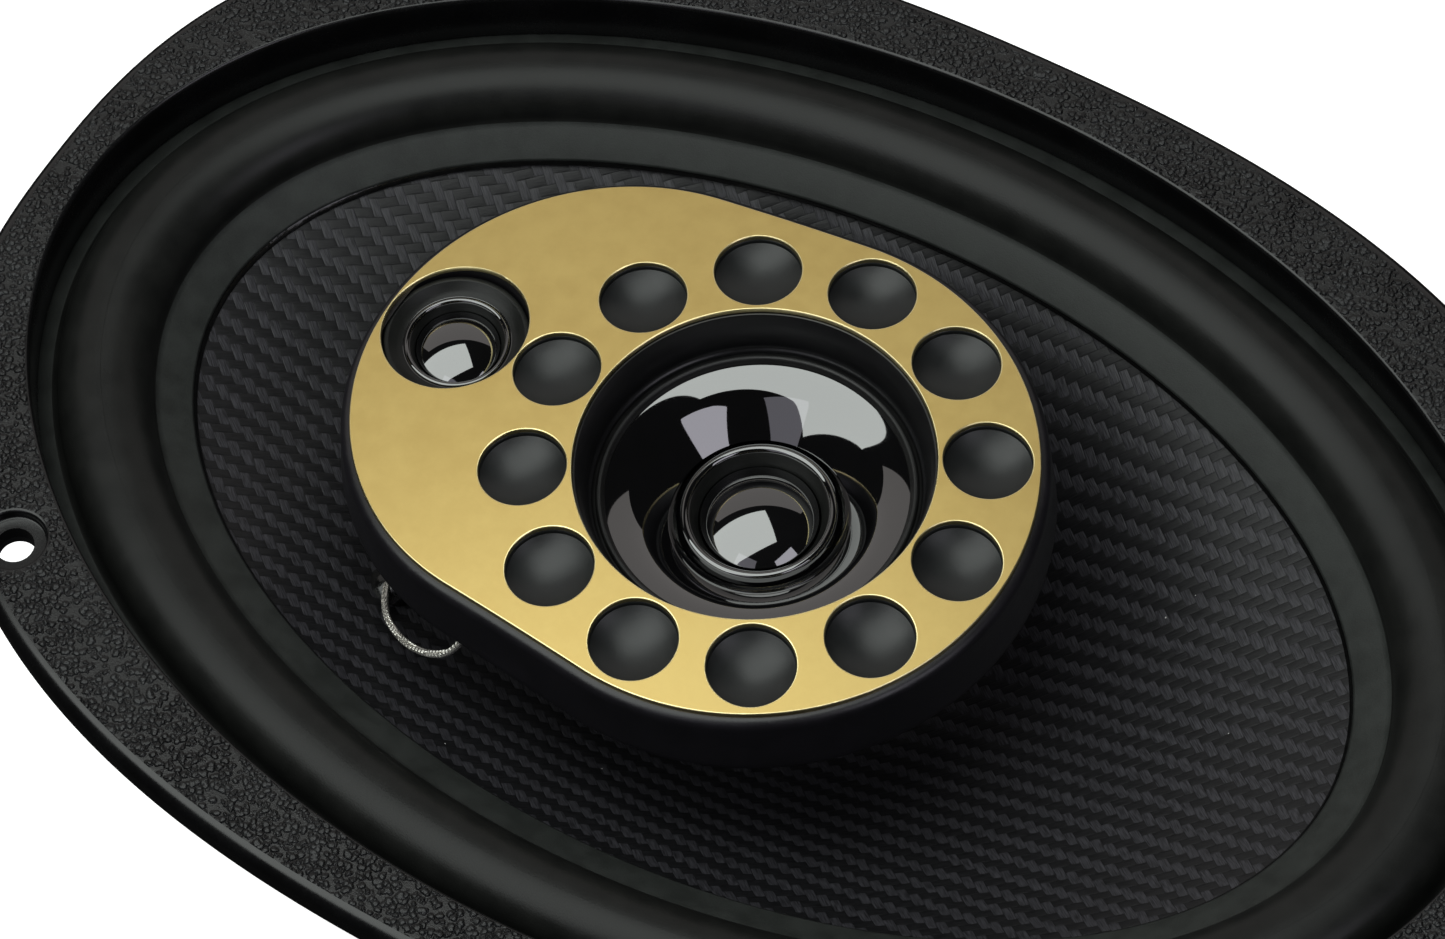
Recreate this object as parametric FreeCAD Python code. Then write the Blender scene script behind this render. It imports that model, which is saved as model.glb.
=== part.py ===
import FreeCAD, Part

import math
import os

from FreeCAD import Vector

# Three-way oval car speaker, in millimetres.
# The origin is the centre of the mounting plane, which is the rear face of the flange.
# +Z points out of the front, +X lies along the long axis, and the small tweeter is at -X.

# ---------------------------------------------------------------- driving dimensions
# Flange and trim ring
FLANGE_HALF_LENGTH = 118.7
FLANGE_HALF_WIDTH = 84.2
FLANGE_SQUARENESS = 2.4
TRIM_FRONT_Z = 5.0
TRIM_EDGE_RADIUS = 2.2
TRIM_WALL = 1.8
SHEET = 1.2
FIT_GAP = 0.2
HOLE_SPACING_X = 172.0
HOLE_SPACING_Y = 114.0
HOLE_RADIUS = 2.75
RECESS_RADIUS = 4.6
RECESS_DEPTH = 1.5

# Oval mouth inside the trim ring, as half length and half width
MOUTH = (111.4, 74.4)
LEDGE_Z = -5.0
SEAT_WIDTH = 3.9

# Openings between the basket's spokes, as (middle angle, half angle) in degrees
WINDOWS = ((0, 20), (46, 17), (90, 17), (134, 17), (180, 20), (226, 17), (270, 17), (314, 17))
WINDOW_TOP_Z = -12.0

# Woofer diaphragm
CONE_EDGE = (94.0, 59.0)
CARBON_EDGE = (88.6, 53.9)
CONE_EDGE_Z = -5.0
CONE_THICKNESS = 0.8
NECK_RADIUS = 13.4
NECK_Z = -38.0
ROLL_HEIGHT = 6.0
RUBBER = 0.9

# Woofer motor, from front to rear
FORMER_INNER = 12.75
FORMER_OUTER = 13.05
WINDING_OUTER = 13.45
SPIDER_RADIUS = 40.0
SHELF_Z = -46.0
CAN_RADIUS = 33.0
CAN_FLOOR_Z = -55.0
TOP_PLATE_Z = -61.0
MAGNET_Z = -78.0
BACK_Z = -84.0
POLE_RADIUS = 12.2
GAP_OUTER = 13.9
MAGNET_RADIUS = 45.0
BOOT_WALL = 1.8

# Centre post and its bolt
POST_RADIUS = 6.0
POST_TOP_Z = -22.0
BOLT_RADIUS = 2.5
BOLT_HEAD = 4.2

# Pod on the post: two circles joined by tangent lines, under a crowned plate
CROWN_Z = 13.4
CROWN_RADIUS = 367.0
PLATE_THICKNESS = 0.8
PLATE_RADIUS = 39.3
PLATE_NOSE_RADIUS = 36.6
PLATE_NOSE_X = -23.3
POD_GROW = 2.0
POD_WALL = 2.4
POD_DECK = 1.6
POD_FLOOR_Z = 0.0
POD_BORE = 27.6
BOSS_RADIUS = 2.8
CAPACITOR = (2.6, 13.0)
DIMPLE_COUNT = 12
DIMPLE_CIRCLE = 32.0
DIMPLE_RADIUS = 6.13
DIMPLE_STEP = 0.8
DIMPLE_DEPTH = 1.9
CENTRE_OPENING = 25.1
SIDE_OPENING = 10.5
SIDE_X = -49.0

# Drivers in the pod
MID_POT_RADIUS = 20.1
MID_POT_FLOOR_Z = -17.0
DOME_FILM = 0.25

# Leads and terminals
LEAD_DIAMETER = 1.2
EYELET_X = -45.7
EYELET_Y = 27.5
TERMINAL_Y = 8.0
TAB_END_X = -62.0
TAB_WIDTH = 32.0
RIVET_X = -58.0
RIVET_HOLE = 1.5
RIVET_HEAD = 2.3
BOARD = (15.0, 28.0, 1.6)
BOARD_END_X = -64.0
BLADE_LENGTH = 25.0
BLADE_THICKNESS = 0.8
BLADE_END_X = -74.0
BLADE_WIDTHS = (6.3, 4.8)
BUSHING_RADIUS = 1.9

os.makedirs("parts", exist_ok=True)
UP = Vector(0, 0, 1)


# ---------------------------------------------------------------- shape helpers
def oval(half_length, half_width, z):
    """Closed wire of an oval, or of a circle where both halves are equal."""
    centre = Vector(0, 0, z)
    if abs(half_length - half_width) < 1e-6:
        return Part.Wire([Part.Circle(centre, UP, half_length).toShape()])
    return Part.Wire([Part.Ellipse(centre, half_length, half_width).toShape()])


def oval_stack(stations):
    """Solid through ovals given as (half length, half width, z)."""
    return Part.makeLoft([oval(*station) for station in stations], True, True)


def oval_ring(section):
    """Closed oval ring whose section is the polygon of (half length, half width, z)."""
    ring = Part.makeLoft([oval(*point) for point in section], True, True, True)
    if ring.Volume < 0:
        ring.reverse()
    return ring


def disc(radius, low, high, x=0.0, y=0.0):
    """Upright cylinder."""
    return Part.makeCylinder(radius, high - low, Vector(x, y, low), UP)


def tube(outer, inner, low, high, x=0.0, y=0.0):
    """Upright cylinder with a round hole through it."""
    return disc(outer, low, high, x, y).cut(disc(inner, low, high, x, y))


def turned(section, x=0.0):
    """Solid of revolution about the upright axis at x.

    A section point is (r, z), or (r, z, r_mid, z_mid) for an arc that ends there.
    """
    edges = []
    start = Vector(section[0][0], 0, section[0][1])
    first = start
    for point in section[1:]:
        end = Vector(point[0], 0, point[1])
        if len(point) == 4:
            middle = Vector(point[2], 0, point[3])
            edges.append(Part.Arc(start, middle, end).toShape())
        else:
            edges.append(Part.LineSegment(start, end).toShape())
        start = end
    edges.append(Part.LineSegment(start, first).toShape())
    solid = Part.Face(Part.Wire(edges)).revolve(Vector(0, 0, 0), UP, 360)
    solid.translate(Vector(x, 0, 0))
    return solid


def flange_prism(grow, low, high):
    """Prism on the flange outline, a squarish oval through points of its own formula."""
    points = []
    half_length = FLANGE_HALF_LENGTH + grow
    half_width = FLANGE_HALF_WIDTH + grow
    steps = 32
    for index in range(steps):
        angle = 2 * math.pi * index / steps
        c, s = math.cos(angle), math.sin(angle)
        x = math.copysign(half_length * abs(c) ** (2 / FLANGE_SQUARENESS), c)
        y = math.copysign(half_width * abs(s) ** (2 / FLANGE_SQUARENESS), s)
        points.append(Vector(x, y, low))
    curve = Part.BSplineCurve()
    curve.interpolate(Points=points, PeriodicFlag=True)
    return Part.Face(Part.Wire([curve.toShape()])).extrude(Vector(0, 0, high - low))


def pod_wire(grow, z):
    """Outline of the pod: a large circle, a nose circle and their two tangent lines."""
    large = PLATE_RADIUS + grow
    nose = PLATE_NOSE_RADIUS + grow
    tangent = math.acos((PLATE_RADIUS - PLATE_NOSE_RADIUS) / PLATE_NOSE_X)

    def at(radius, centre_x, angle):
        return Vector(centre_x + radius * math.cos(angle), radius * math.sin(angle), z)

    large_low, large_high = at(large, 0, -tangent), at(large, 0, tangent)
    nose_low, nose_high = at(nose, PLATE_NOSE_X, -tangent), at(nose, PLATE_NOSE_X, tangent)
    return Part.Wire([
        Part.Arc(large_low, at(large, 0, 0), large_high).toShape(),
        Part.LineSegment(large_high, nose_high).toShape(),
        Part.Arc(nose_high, at(nose, PLATE_NOSE_X, math.pi), nose_low).toShape(),
        Part.LineSegment(nose_low, large_low).toShape(),
    ])


def pod_prism(grow, low, high):
    """Prism on the pod outline."""
    return Part.Face(pod_wire(grow, low)).extrude(Vector(0, 0, high - low))


def crown(drop):
    """Ball whose top is the crowned front surface, lowered by drop."""
    return Part.makeSphere(CROWN_RADIUS - drop, Vector(0, 0, CROWN_Z - CROWN_RADIUS))


def on_crown(shape, distance, angle):
    """Carry a shape from the crown's top to a place along the crowned surface."""
    moved = shape.copy()
    tilt = math.degrees(math.asin(distance / CROWN_RADIUS))
    moved.rotate(Vector(0, 0, CROWN_Z - CROWN_RADIUS), Vector(0, 1, 0), tilt)
    moved.rotate(Vector(0, 0, 0), UP, angle)
    return moved


def cone_height(x, y):
    """Height of the woofer cone's front surface at x, y."""
    low, high = 0.0, 1.0
    for _ in range(40):
        t = (low + high) / 2
        half_length = CONE_EDGE[0] + t * (NECK_RADIUS - CONE_EDGE[0])
        half_width = CONE_EDGE[1] + t * (NECK_RADIUS - CONE_EDGE[1])
        if (x / half_length) ** 2 + (y / half_width) ** 2 < 1:
            low = t
        else:
            high = t
    return CONE_EDGE_Z + low * (NECK_Z - CONE_EDGE_Z)


def lead(route):
    """Round lead along straight runs joined by tangent arcs, with its smallest bend."""
    points = [Vector(*point) for point in route]
    edges = []
    start = points[0]
    radii = []
    for before, corner, after in zip(points, points[1:], points[2:]):
        back = before - corner
        ahead = after - corner
        reach = 0.45 * min(back.Length, ahead.Length)
        half_turn = (math.pi - back.getAngle(ahead)) / 2
        radii.append(reach / math.tan(half_turn))
        back.normalize()
        ahead.normalize()
        enter = corner + back * reach
        leave = corner + ahead * reach
        bisector = (back + ahead).normalize()
        to_centre = radii[-1] / math.cos(half_turn)
        middle = corner + bisector * (to_centre - radii[-1])
        edges.append(Part.LineSegment(start, enter).toShape())
        edges.append(Part.Arc(enter, middle, leave).toShape())
        start = leave
    edges.append(Part.LineSegment(start, points[-1]).toShape())
    path = Part.Wire(edges)
    direction = points[1] - points[0]
    section = Part.Wire([Part.Circle(points[0], direction, LEAD_DIAMETER / 2).toShape()])
    solid = path.makePipeShell([section], True, False)
    expected = math.pi * LEAD_DIAMETER ** 2 / 4 * path.Length
    print("lead length %.1f, radii %s, volume ratio %.4f" % (
        path.Length, [round(radius, 1) for radius in radii], solid.Volume / expected))
    return solid


def mirrored(route):
    """The same route on the other side of the long axis."""
    return [(x, -y, z) for x, y, z in route]


EYELET_Z = cone_height(EYELET_X, EYELET_Y)
BOARD_TOP = SHELF_Z + BOARD[2]
BLADE_TOP = BOARD_TOP + BLADE_THICKNESS

# Routes of the two leads on the -Y side; the other two are their mirror images.
FRONT_LEAD = [(EYELET_X, -EYELET_Y, EYELET_Z + 1.8), (-43.4, -32.4, -14.4), (-37.6, -36.6, -12.0),
              (-31.4, -38.4, -9.0), (-26.6, -37.4, -5.6), (-25.6, -33.6, -1.6)]
REAR_LEAD = [(-52.4, -TERMINAL_Y, BLADE_TOP + 0.62), (-47.4, -9.6, -41.0), (-43.6, -15.0, -37.6),
             (-42.4, -21.6, -33.0), (-44.4, -26.4, -26.6), (EYELET_X, -EYELET_Y, EYELET_Z - 2.15)]


def save(node, shape):
    """Write one node, after a look at its validity."""
    print("%-24s valid %s solids %d volume %.1f" % (
        node, shape.isValid(), len(shape.Solids), shape.Volume))
    shape.exportStep("parts/%s.step" % node)


# ---------------------------------------------------------------- frame
def hole_places():
    """Centres of the four mounting holes."""
    return [(x * HOLE_SPACING_X / 2, y * HOLE_SPACING_Y / 2) for x in (-1, 1) for y in (-1, 1)]


WALL_OUTER = (MOUTH[0] + TRIM_WALL, MOUTH[1] + TRIM_WALL)
SEAT_INNER = (MOUTH[0] - SEAT_WIDTH, MOUTH[1] - SEAT_WIDTH)
BASKET_FOOT = SPIDER_RADIUS + 6.0


def make_trim_ring():
    """Front ring with a rolled outer edge and a deep smooth wall around the mouth."""
    ring = flange_prism(0, 0, TRIM_FRONT_Z)
    rim = [edge for edge in ring.Edges if edge.BoundBox.ZMin > TRIM_FRONT_Z - 0.1]
    ring = ring.makeFillet(TRIM_EDGE_RADIUS, rim)
    ring = ring.cut(flange_prism(-TRIM_EDGE_RADIUS, -1, SHEET))
    wall = oval_stack([(*WALL_OUTER, LEDGE_Z + RUBBER), (*WALL_OUTER, TRIM_FRONT_Z - 1)])
    mouth = oval_stack([(*MOUTH, LEDGE_Z - 1), (*MOUTH, TRIM_FRONT_Z + 1)])
    ring = ring.fuse(wall).cut(mouth)
    for x, y in hole_places():
        ring = ring.cut(disc(HOLE_RADIUS, 0, TRIM_FRONT_Z + 1, x, y))
        ring = ring.cut(disc(RECESS_RADIUS, TRIM_FRONT_Z - RECESS_DEPTH, TRIM_FRONT_Z + 1, x, y))
    return ring


def window(centre, half_angle):
    """Wedge that cuts one opening between two spokes of the basket."""
    reach = 2 * FLANGE_HALF_LENGTH
    corners = [Vector(0, 0, SHELF_Z)]
    for side in (-1, 1):
        angle = math.radians(centre + side * half_angle)
        corners.append(Vector(reach * math.cos(angle), reach * math.sin(angle), SHELF_Z))
    corners.append(corners[0])
    wedge = Part.Face(Part.makePolygon(corners)).extrude(Vector(0, 0, WINDOW_TOP_Z - SHELF_Z))
    return wedge.cut(disc(SPIDER_RADIUS + 2, SHELF_Z, 0))


def make_basket():
    """Pressed steel frame: flange, surround seat, spokes, spider shelf and motor can."""
    well = (WALL_OUTER[0] + FIT_GAP, WALL_OUTER[1] + FIT_GAP)
    sheet_outer = (well[0] + SHEET, well[1] + SHEET)
    bowl_outer = (SEAT_INNER[0] + SHEET, SEAT_INNER[1] + SHEET)
    bowl_top = LEDGE_Z - SHEET
    basket = flange_prism(-TRIM_EDGE_RADIUS - 0.3, 0, SHEET)
    basket = basket.fuse(oval_stack([(*sheet_outer, bowl_top), (*sheet_outer, SHEET)]))
    basket = basket.cut(oval_stack([(*well, LEDGE_Z), (*well, SHEET)]))
    bowl = oval_stack([(BASKET_FOOT + SHEET, BASKET_FOOT + SHEET, SHELF_Z - SHEET),
                       (BASKET_FOOT + SHEET, BASKET_FOOT + SHEET, SHELF_Z),
                       (*bowl_outer, bowl_top)])
    for centre, half_angle in WINDOWS:
        bowl = bowl.cut(window(centre, half_angle))
    basket = basket.fuse(bowl)
    basket = basket.cut(oval_stack([(BASKET_FOOT, BASKET_FOOT, SHELF_Z),
                                    (*SEAT_INNER, bowl_top), (*SEAT_INNER, 0)]))
    can = disc(CAN_RADIUS + SHEET, CAN_FLOOR_Z, SHELF_Z - SHEET / 2)
    basket = basket.fuse(can)
    basket = basket.cut(disc(CAN_RADIUS, CAN_FLOOR_Z + SHEET, SHELF_Z))
    basket = basket.cut(disc(GAP_OUTER + 3, CAN_FLOOR_Z - 1, SHELF_Z))
    tab_length = -BASKET_FOOT - TAB_END_X
    tab_corner = Vector(TAB_END_X, -TAB_WIDTH / 2, SHELF_Z - SHEET)
    tab = Part.makeBox(tab_length, TAB_WIDTH, SHEET, tab_corner)
    basket = basket.fuse(tab)
    for y in (-TERMINAL_Y, TERMINAL_Y):
        basket = basket.cut(disc(RIVET_HOLE, SHELF_Z - 2 * SHEET, SHELF_Z + 1, RIVET_X, y))
    for x, y in hole_places():
        basket = basket.cut(disc(HOLE_RADIUS, -1, SHEET + 1, x, y))
    return basket.removeSplitter()


# ---------------------------------------------------------------- woofer diaphragm
def make_surround():
    """Rubber half roll between its glue ring on the seat and its lip on the cone."""
    outer = (SEAT_INNER[0] + 1.0, SEAT_INNER[1] + 1.0)
    inner = CONE_EDGE
    glue = (WALL_OUTER[0] - 0.1, WALL_OUTER[1] - 0.1)
    steps = 10

    def roll(height, shrink):
        points = []
        for index in range(steps + 1):
            angle = math.pi * index / steps
            mix = (1 - math.cos(angle) * shrink) / 2
            z = LEDGE_Z + height * math.sin(angle)
            points.append((outer[0] + mix * (inner[0] - outer[0]),
                           outer[1] + mix * (inner[1] - outer[1]), z))
        return points

    lip_gap = 0.1
    slope = (NECK_Z - CONE_EDGE_Z) / (NECK_RADIUS - CONE_EDGE[0])
    lip_z = CONE_EDGE_Z + slope * (CARBON_EDGE[0] - CONE_EDGE[0])
    front = [(x, y, z + RUBBER) for x, y, z in roll(ROLL_HEIGHT, 1.0)]
    back = roll(ROLL_HEIGHT, 0.88)
    section = [(*glue, LEDGE_Z), (*glue, LEDGE_Z + RUBBER)] + front
    section.append((*CARBON_EDGE, lip_z + RUBBER))
    section.append((*CARBON_EDGE, lip_z + lip_gap))
    section.append((*inner, CONE_EDGE_Z + lip_gap))
    return oval_ring(section + back[::-1])


def make_cone():
    """Oval carbon-cloth cone with two lead eyelet holes."""
    front = oval_stack([(NECK_RADIUS, NECK_RADIUS, NECK_Z), (*CONE_EDGE, CONE_EDGE_Z)])
    depth = Vector(0, 0, -CONE_THICKNESS)
    body = front.copy()
    body.translate(depth)
    cone = body.cut(front).cut(disc(FORMER_OUTER, NECK_Z - 5, NECK_Z + 2))
    neck = tube(NECK_RADIUS + CONE_THICKNESS, FORMER_OUTER, NECK_Z - 3, NECK_Z - 0.2)
    cone = cone.fuse(neck)
    for y in (-EYELET_Y, EYELET_Y):
        z = EYELET_Z
        cone = cone.cut(disc(LEAD_DIAMETER, z - 4, z + 4, EYELET_X, y))
    return max(cone.Solids, key=lambda solid: solid.Volume)


def make_eyelets():
    """Two brass eyelets through the cone."""
    z = EYELET_Z
    return Part.makeCompound([
        disc(LEAD_DIAMETER - 0.02, z - 1.9, z + 1.2, EYELET_X, y) for y in (-EYELET_Y, EYELET_Y)])


def make_glue_dabs():
    """Two dabs of black glue on the cone's front, over the eyelets."""
    funnel = oval_stack([(NECK_RADIUS, NECK_RADIUS, NECK_Z), (*CONE_EDGE, CONE_EDGE_Z)])
    z = EYELET_Z
    dabs = []
    for y in (-EYELET_Y, EYELET_Y):
        ball = Part.makeSphere(3.6, Vector(EYELET_X, y, z - 1.2))
        dab = ball.common(funnel).cut(disc(LEAD_DIAMETER, z - 4, z + 1.2, EYELET_X, y))
        route = FRONT_LEAD if y < 0 else mirrored(FRONT_LEAD)
        start, towards = Vector(*route[0]), Vector(*route[1])
        inside = start - (towards - start).normalize()
        dabs.append(dab.cut(Part.makeCylinder(LEAD_DIAMETER / 2 + 0.02, 9, inside, towards - start)))
    return Part.makeCompound(dabs)


def make_spider():
    """Corrugated cloth disc that centres the voice coil."""
    crests = 6
    first = FORMER_OUTER + 0.1
    foot = SPIDER_RADIUS - 3
    pitch = (foot - first - 2) / (2 * crests)
    front = [(first, SHELF_Z + 1.6)]
    for index in range(2 * crests + 1):
        front.append((first + 2 + index * pitch, SHELF_Z + (1.6 if index % 2 == 0 else 2.9)))
    front.append((SPIDER_RADIUS, SHELF_Z + 0.7))
    back = [(r, z - 0.6) for r, z in front]
    return turned(front + back[::-1])


def make_woofer_motor():
    """Voice coil, magnet and steel parts, each as its own node."""
    coil_low = TOP_PLATE_Z - 2.0
    save("voice_coil_former", tube(FORMER_OUTER - 0.01, FORMER_INNER, coil_low, NECK_Z + 0.5))
    save("voice_coil_winding", tube(WINDING_OUTER, FORMER_OUTER, coil_low, coil_low + 10.0))
    save("top_plate", tube(MAGNET_RADIUS - 4, GAP_OUTER, TOP_PLATE_Z, CAN_FLOOR_Z))
    save("ferrite_magnet", tube(MAGNET_RADIUS, GAP_OUTER + 6, MAGNET_Z, TOP_PLATE_Z))
    yoke = disc(MAGNET_RADIUS - 3, BACK_Z, MAGNET_Z)
    yoke = yoke.fuse(disc(POLE_RADIUS, MAGNET_Z, CAN_FLOOR_Z + 2))
    yoke = yoke.cut(disc(BOLT_RADIUS + FIT_GAP, BACK_Z, 0))
    yoke = yoke.cut(disc(5.2, BACK_Z, BACK_Z + BOLT_HEAD))
    save("pole_yoke", yoke.removeSplitter())
    boot_inner = MAGNET_RADIUS + 0.1
    boot_outer = boot_inner + BOOT_WALL
    boot = turned([(34.0, BACK_Z), (34.0, BACK_Z - 1.2), (boot_outer - 2, BACK_Z - 1.2),
                   (boot_outer, BACK_Z + 0.8, boot_outer - 0.6, BACK_Z - 0.6),
                   (boot_outer, TOP_PLATE_Z + 1.5), (boot_outer - 1.5, TOP_PLATE_Z + 3.0),
                   (MAGNET_RADIUS - 2.5, TOP_PLATE_Z + 3.0), (MAGNET_RADIUS - 2.5, TOP_PLATE_Z + 1.2),
                   (MAGNET_RADIUS - 2.5, TOP_PLATE_Z + 0.1), (boot_inner, TOP_PLATE_Z + 0.1),
                   (boot_inner, MAGNET_Z), (MAGNET_RADIUS - 2.9, MAGNET_Z),
                   (MAGNET_RADIUS - 2.9, BACK_Z)])
    save("magnet_boot", boot)


def make_centre_post():
    """Post between pole and pod, and the socket-head bolt that clamps them."""
    save("centre_post", tube(POST_RADIUS, BOLT_RADIUS + FIT_GAP, CAN_FLOOR_Z + 2, POST_TOP_Z))
    bolt = disc(BOLT_RADIUS, BACK_Z + BOLT_HEAD, MID_POT_FLOOR_Z + 1.4)
    bolt = bolt.fuse(disc(4.25, BACK_Z + 0.2, BACK_Z + BOLT_HEAD))
    socket = Part.Face(Part.makePolygon([
        Vector(2.3 * math.cos(math.radians(60 * k)), 2.3 * math.sin(math.radians(60 * k)), BACK_Z)
        for k in range(7)])).extrude(Vector(0, 0, 2.4))
    save("centre_bolt", bolt.cut(socket))


# ---------------------------------------------------------------- terminals and leads
def make_terminals():
    """Fibre board on the basket's tab, two blades of different width and their rivets."""
    board = Part.makeBox(*BOARD, Vector(BOARD_END_X, -BOARD[1] / 2, SHELF_Z))
    blades = []
    rivets = []
    head = 0.7
    for y, width in zip((-TERMINAL_Y, TERMINAL_Y), BLADE_WIDTHS):
        corner = Vector(BLADE_END_X, y - width / 2, BOARD_TOP)
        blade = Part.makeBox(BLADE_LENGTH, width, BLADE_THICKNESS, corner)
        hole = disc(RIVET_HOLE, SHELF_Z - 4, BLADE_TOP + 1, RIVET_X, y)
        blades.append(blade.cut(hole))
        board = board.cut(hole)
        rivet = disc(RIVET_HOLE - 0.02, SHELF_Z - SHEET - head, BLADE_TOP + head, RIVET_X, y)
        rivets.append(rivet.fuse(disc(RIVET_HEAD, BLADE_TOP, BLADE_TOP + head, RIVET_X, y)))
    save("terminal_board", board)
    save("terminal_blades", Part.makeCompound(blades))
    save("terminal_rivets", Part.makeCompound(rivets))


def make_leads():
    """Braided leads from the terminals to the cone, and from the cone up to the pod."""
    save("pod_lead_near", lead(FRONT_LEAD))
    save("pod_lead_far", lead(mirrored(FRONT_LEAD)))
    save("woofer_lead_near", lead(REAR_LEAD))
    save("woofer_lead_far", lead(mirrored(REAR_LEAD)))
    x, y, _ = FRONT_LEAD[-1]
    bushings = [disc(BUSHING_RADIUS, POD_FLOOR_Z - 1.0, POD_FLOOR_Z + 3.0, x, side * y)
                for side in (-1, 1)]
    save("lead_bushings", Part.makeCompound(bushings))


# ---------------------------------------------------------------- pod
BOSSES = [(23.3, -23.3), (23.3, 23.3), (-47.0, -20.0), (-47.0, 20.0)]


def dimple_places():
    """Angles of the dimples around the centre opening."""
    return [180 + 360 * index / DIMPLE_COUNT for index in range(DIMPLE_COUNT)]


def make_face_plate():
    """Crowned metal plate with a centre opening, a side opening and a ring of holes."""
    plate = pod_prism(0, 0, CROWN_Z + 2).common(crown(0)).cut(crown(PLATE_THICKNESS))
    plate = plate.cut(disc(CENTRE_OPENING, 0, 30)).cut(disc(SIDE_OPENING, 0, 30, SIDE_X))
    hole = disc(DIMPLE_RADIUS, CROWN_Z - 5, CROWN_Z + 5)
    for angle in dimple_places():
        plate = plate.cut(on_crown(hole, DIMPLE_CIRCLE, angle))
    return plate


def make_pod_housing():
    """Moulded shell under the face plate, dished behind each hole of the plate."""
    outer = Part.makeLoft([pod_wire(POD_GROW, POD_FLOOR_Z), pod_wire(POD_GROW - 0.6, CROWN_Z + 2)],
                          True, True)
    outer = outer.common(crown(PLATE_THICKNESS))
    rim = [edge for edge in outer.Edges
           if edge.BoundBox.ZMin > 4 and edge.Length > 8 and len(edge.Vertexes) == 2
           and abs(edge.BoundBox.ZMax - edge.BoundBox.ZMin) < 3]
    outer = outer.makeFillet(1.2, rim)
    cavity = pod_prism(POD_GROW - POD_WALL, POD_FLOOR_Z - 1, CROWN_Z).common(
        crown(PLATE_THICKNESS + POD_DECK))
    shell = outer.cut(cavity)
    deck_z = CROWN_Z - PLATE_THICKNESS
    cup = disc(DIMPLE_RADIUS + 1.2, deck_z - DIMPLE_STEP - DIMPLE_DEPTH - 1.2, deck_z - 0.5)
    dish_radius = DIMPLE_RADIUS - 0.1
    ball = dish_radius ** 2 / (2 * DIMPLE_DEPTH) + DIMPLE_DEPTH / 2
    dish_edge = deck_z - DIMPLE_STEP
    dish = Part.makeSphere(ball, Vector(0, 0, dish_edge - DIMPLE_DEPTH + ball))
    dish = dish.common(disc(dish_radius, dish_edge - 5, dish_edge + 4))
    dish = dish.fuse(disc(dish_radius, dish_edge, dish_edge + 4))
    for angle in dimple_places():
        shell = shell.fuse(on_crown(cup, DIMPLE_CIRCLE, angle))
    for x, y in BOSSES:
        post = disc(BOSS_RADIUS, POD_FLOOR_Z + 2, CROWN_Z, x, y)
        post = post.common(crown(PLATE_THICKNESS + 1))
        shell = shell.fuse(post)
    for angle in dimple_places():
        shell = shell.cut(on_crown(dish, DIMPLE_CIRCLE, angle))
    for x, y in BOSSES:
        shell = shell.cut(disc(1.05, POD_FLOOR_Z, POD_FLOOR_Z + 6, x, y))
    shell = shell.cut(disc(CENTRE_OPENING + FIT_GAP, -5, 30)).cut(disc(POD_BORE, -5, 7.1))
    shell = shell.cut(disc(SIDE_OPENING, -5, 30, SIDE_X))
    return max(shell.Solids, key=lambda solid: solid.Volume)


def make_pod_fittings():
    """Floor of the pod, its screws and the crossover capacitors."""
    floor_top = POD_FLOOR_Z + 2
    floor = pod_prism(POD_GROW - POD_WALL - 0.1, POD_FLOOR_Z + 0.3, floor_top)
    floor = floor.cut(disc(26.5, -5, 5))
    screws = []
    for x, y in BOSSES:
        floor = floor.cut(disc(1.4, -5, 5, x, y))
        screw = disc(1.0, POD_FLOOR_Z + 0.3, POD_FLOOR_Z + 5.8, x, y)
        screws.append(screw.fuse(disc(2.3, POD_FLOOR_Z - 1.1, POD_FLOOR_Z + 0.3, x, y)))
    for side in (-1, 1):
        floor = floor.cut(disc(BUSHING_RADIUS + 0.02, -5, 5, FRONT_LEAD[-1][0], side * FRONT_LEAD[-1][1]))
    save("pod_floor", floor)
    save("pod_screws", Part.makeCompound(screws))
    cans = [Part.makeCylinder(CAPACITOR[0], CAPACITOR[1],
                              Vector(-37.6, y, floor_top + CAPACITOR[0] + 0.05), Vector(0, 1, 0))
            for y in (-26, 13)]
    save("crossover_capacitors", Part.makeCompound(cans))


# ---------------------------------------------------------------- drivers in the pod
def dome(radius, edge_z, top_z, skirt_z, x=0.0):
    """Thin domed diaphragm with the skirt that carries its coil."""
    rise = top_z - edge_z
    ball = (radius ** 2 + rise ** 2) / (2 * rise)
    centre = Vector(x, 0, top_z - ball)
    cap = Part.makeSphere(ball, centre).common(disc(radius, edge_z - DOME_FILM, top_z + 1, x))
    skirt = disc(radius, skirt_z, edge_z, x)
    room = disc(radius - DOME_FILM, skirt_z - 1, edge_z, x)
    room = room.fuse(Part.makeSphere(ball - DOME_FILM, centre).common(
        disc(radius - DOME_FILM, edge_z - DOME_FILM, top_z + 1, x)))
    return cap.fuse(skirt).removeSplitter().cut(room)


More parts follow.
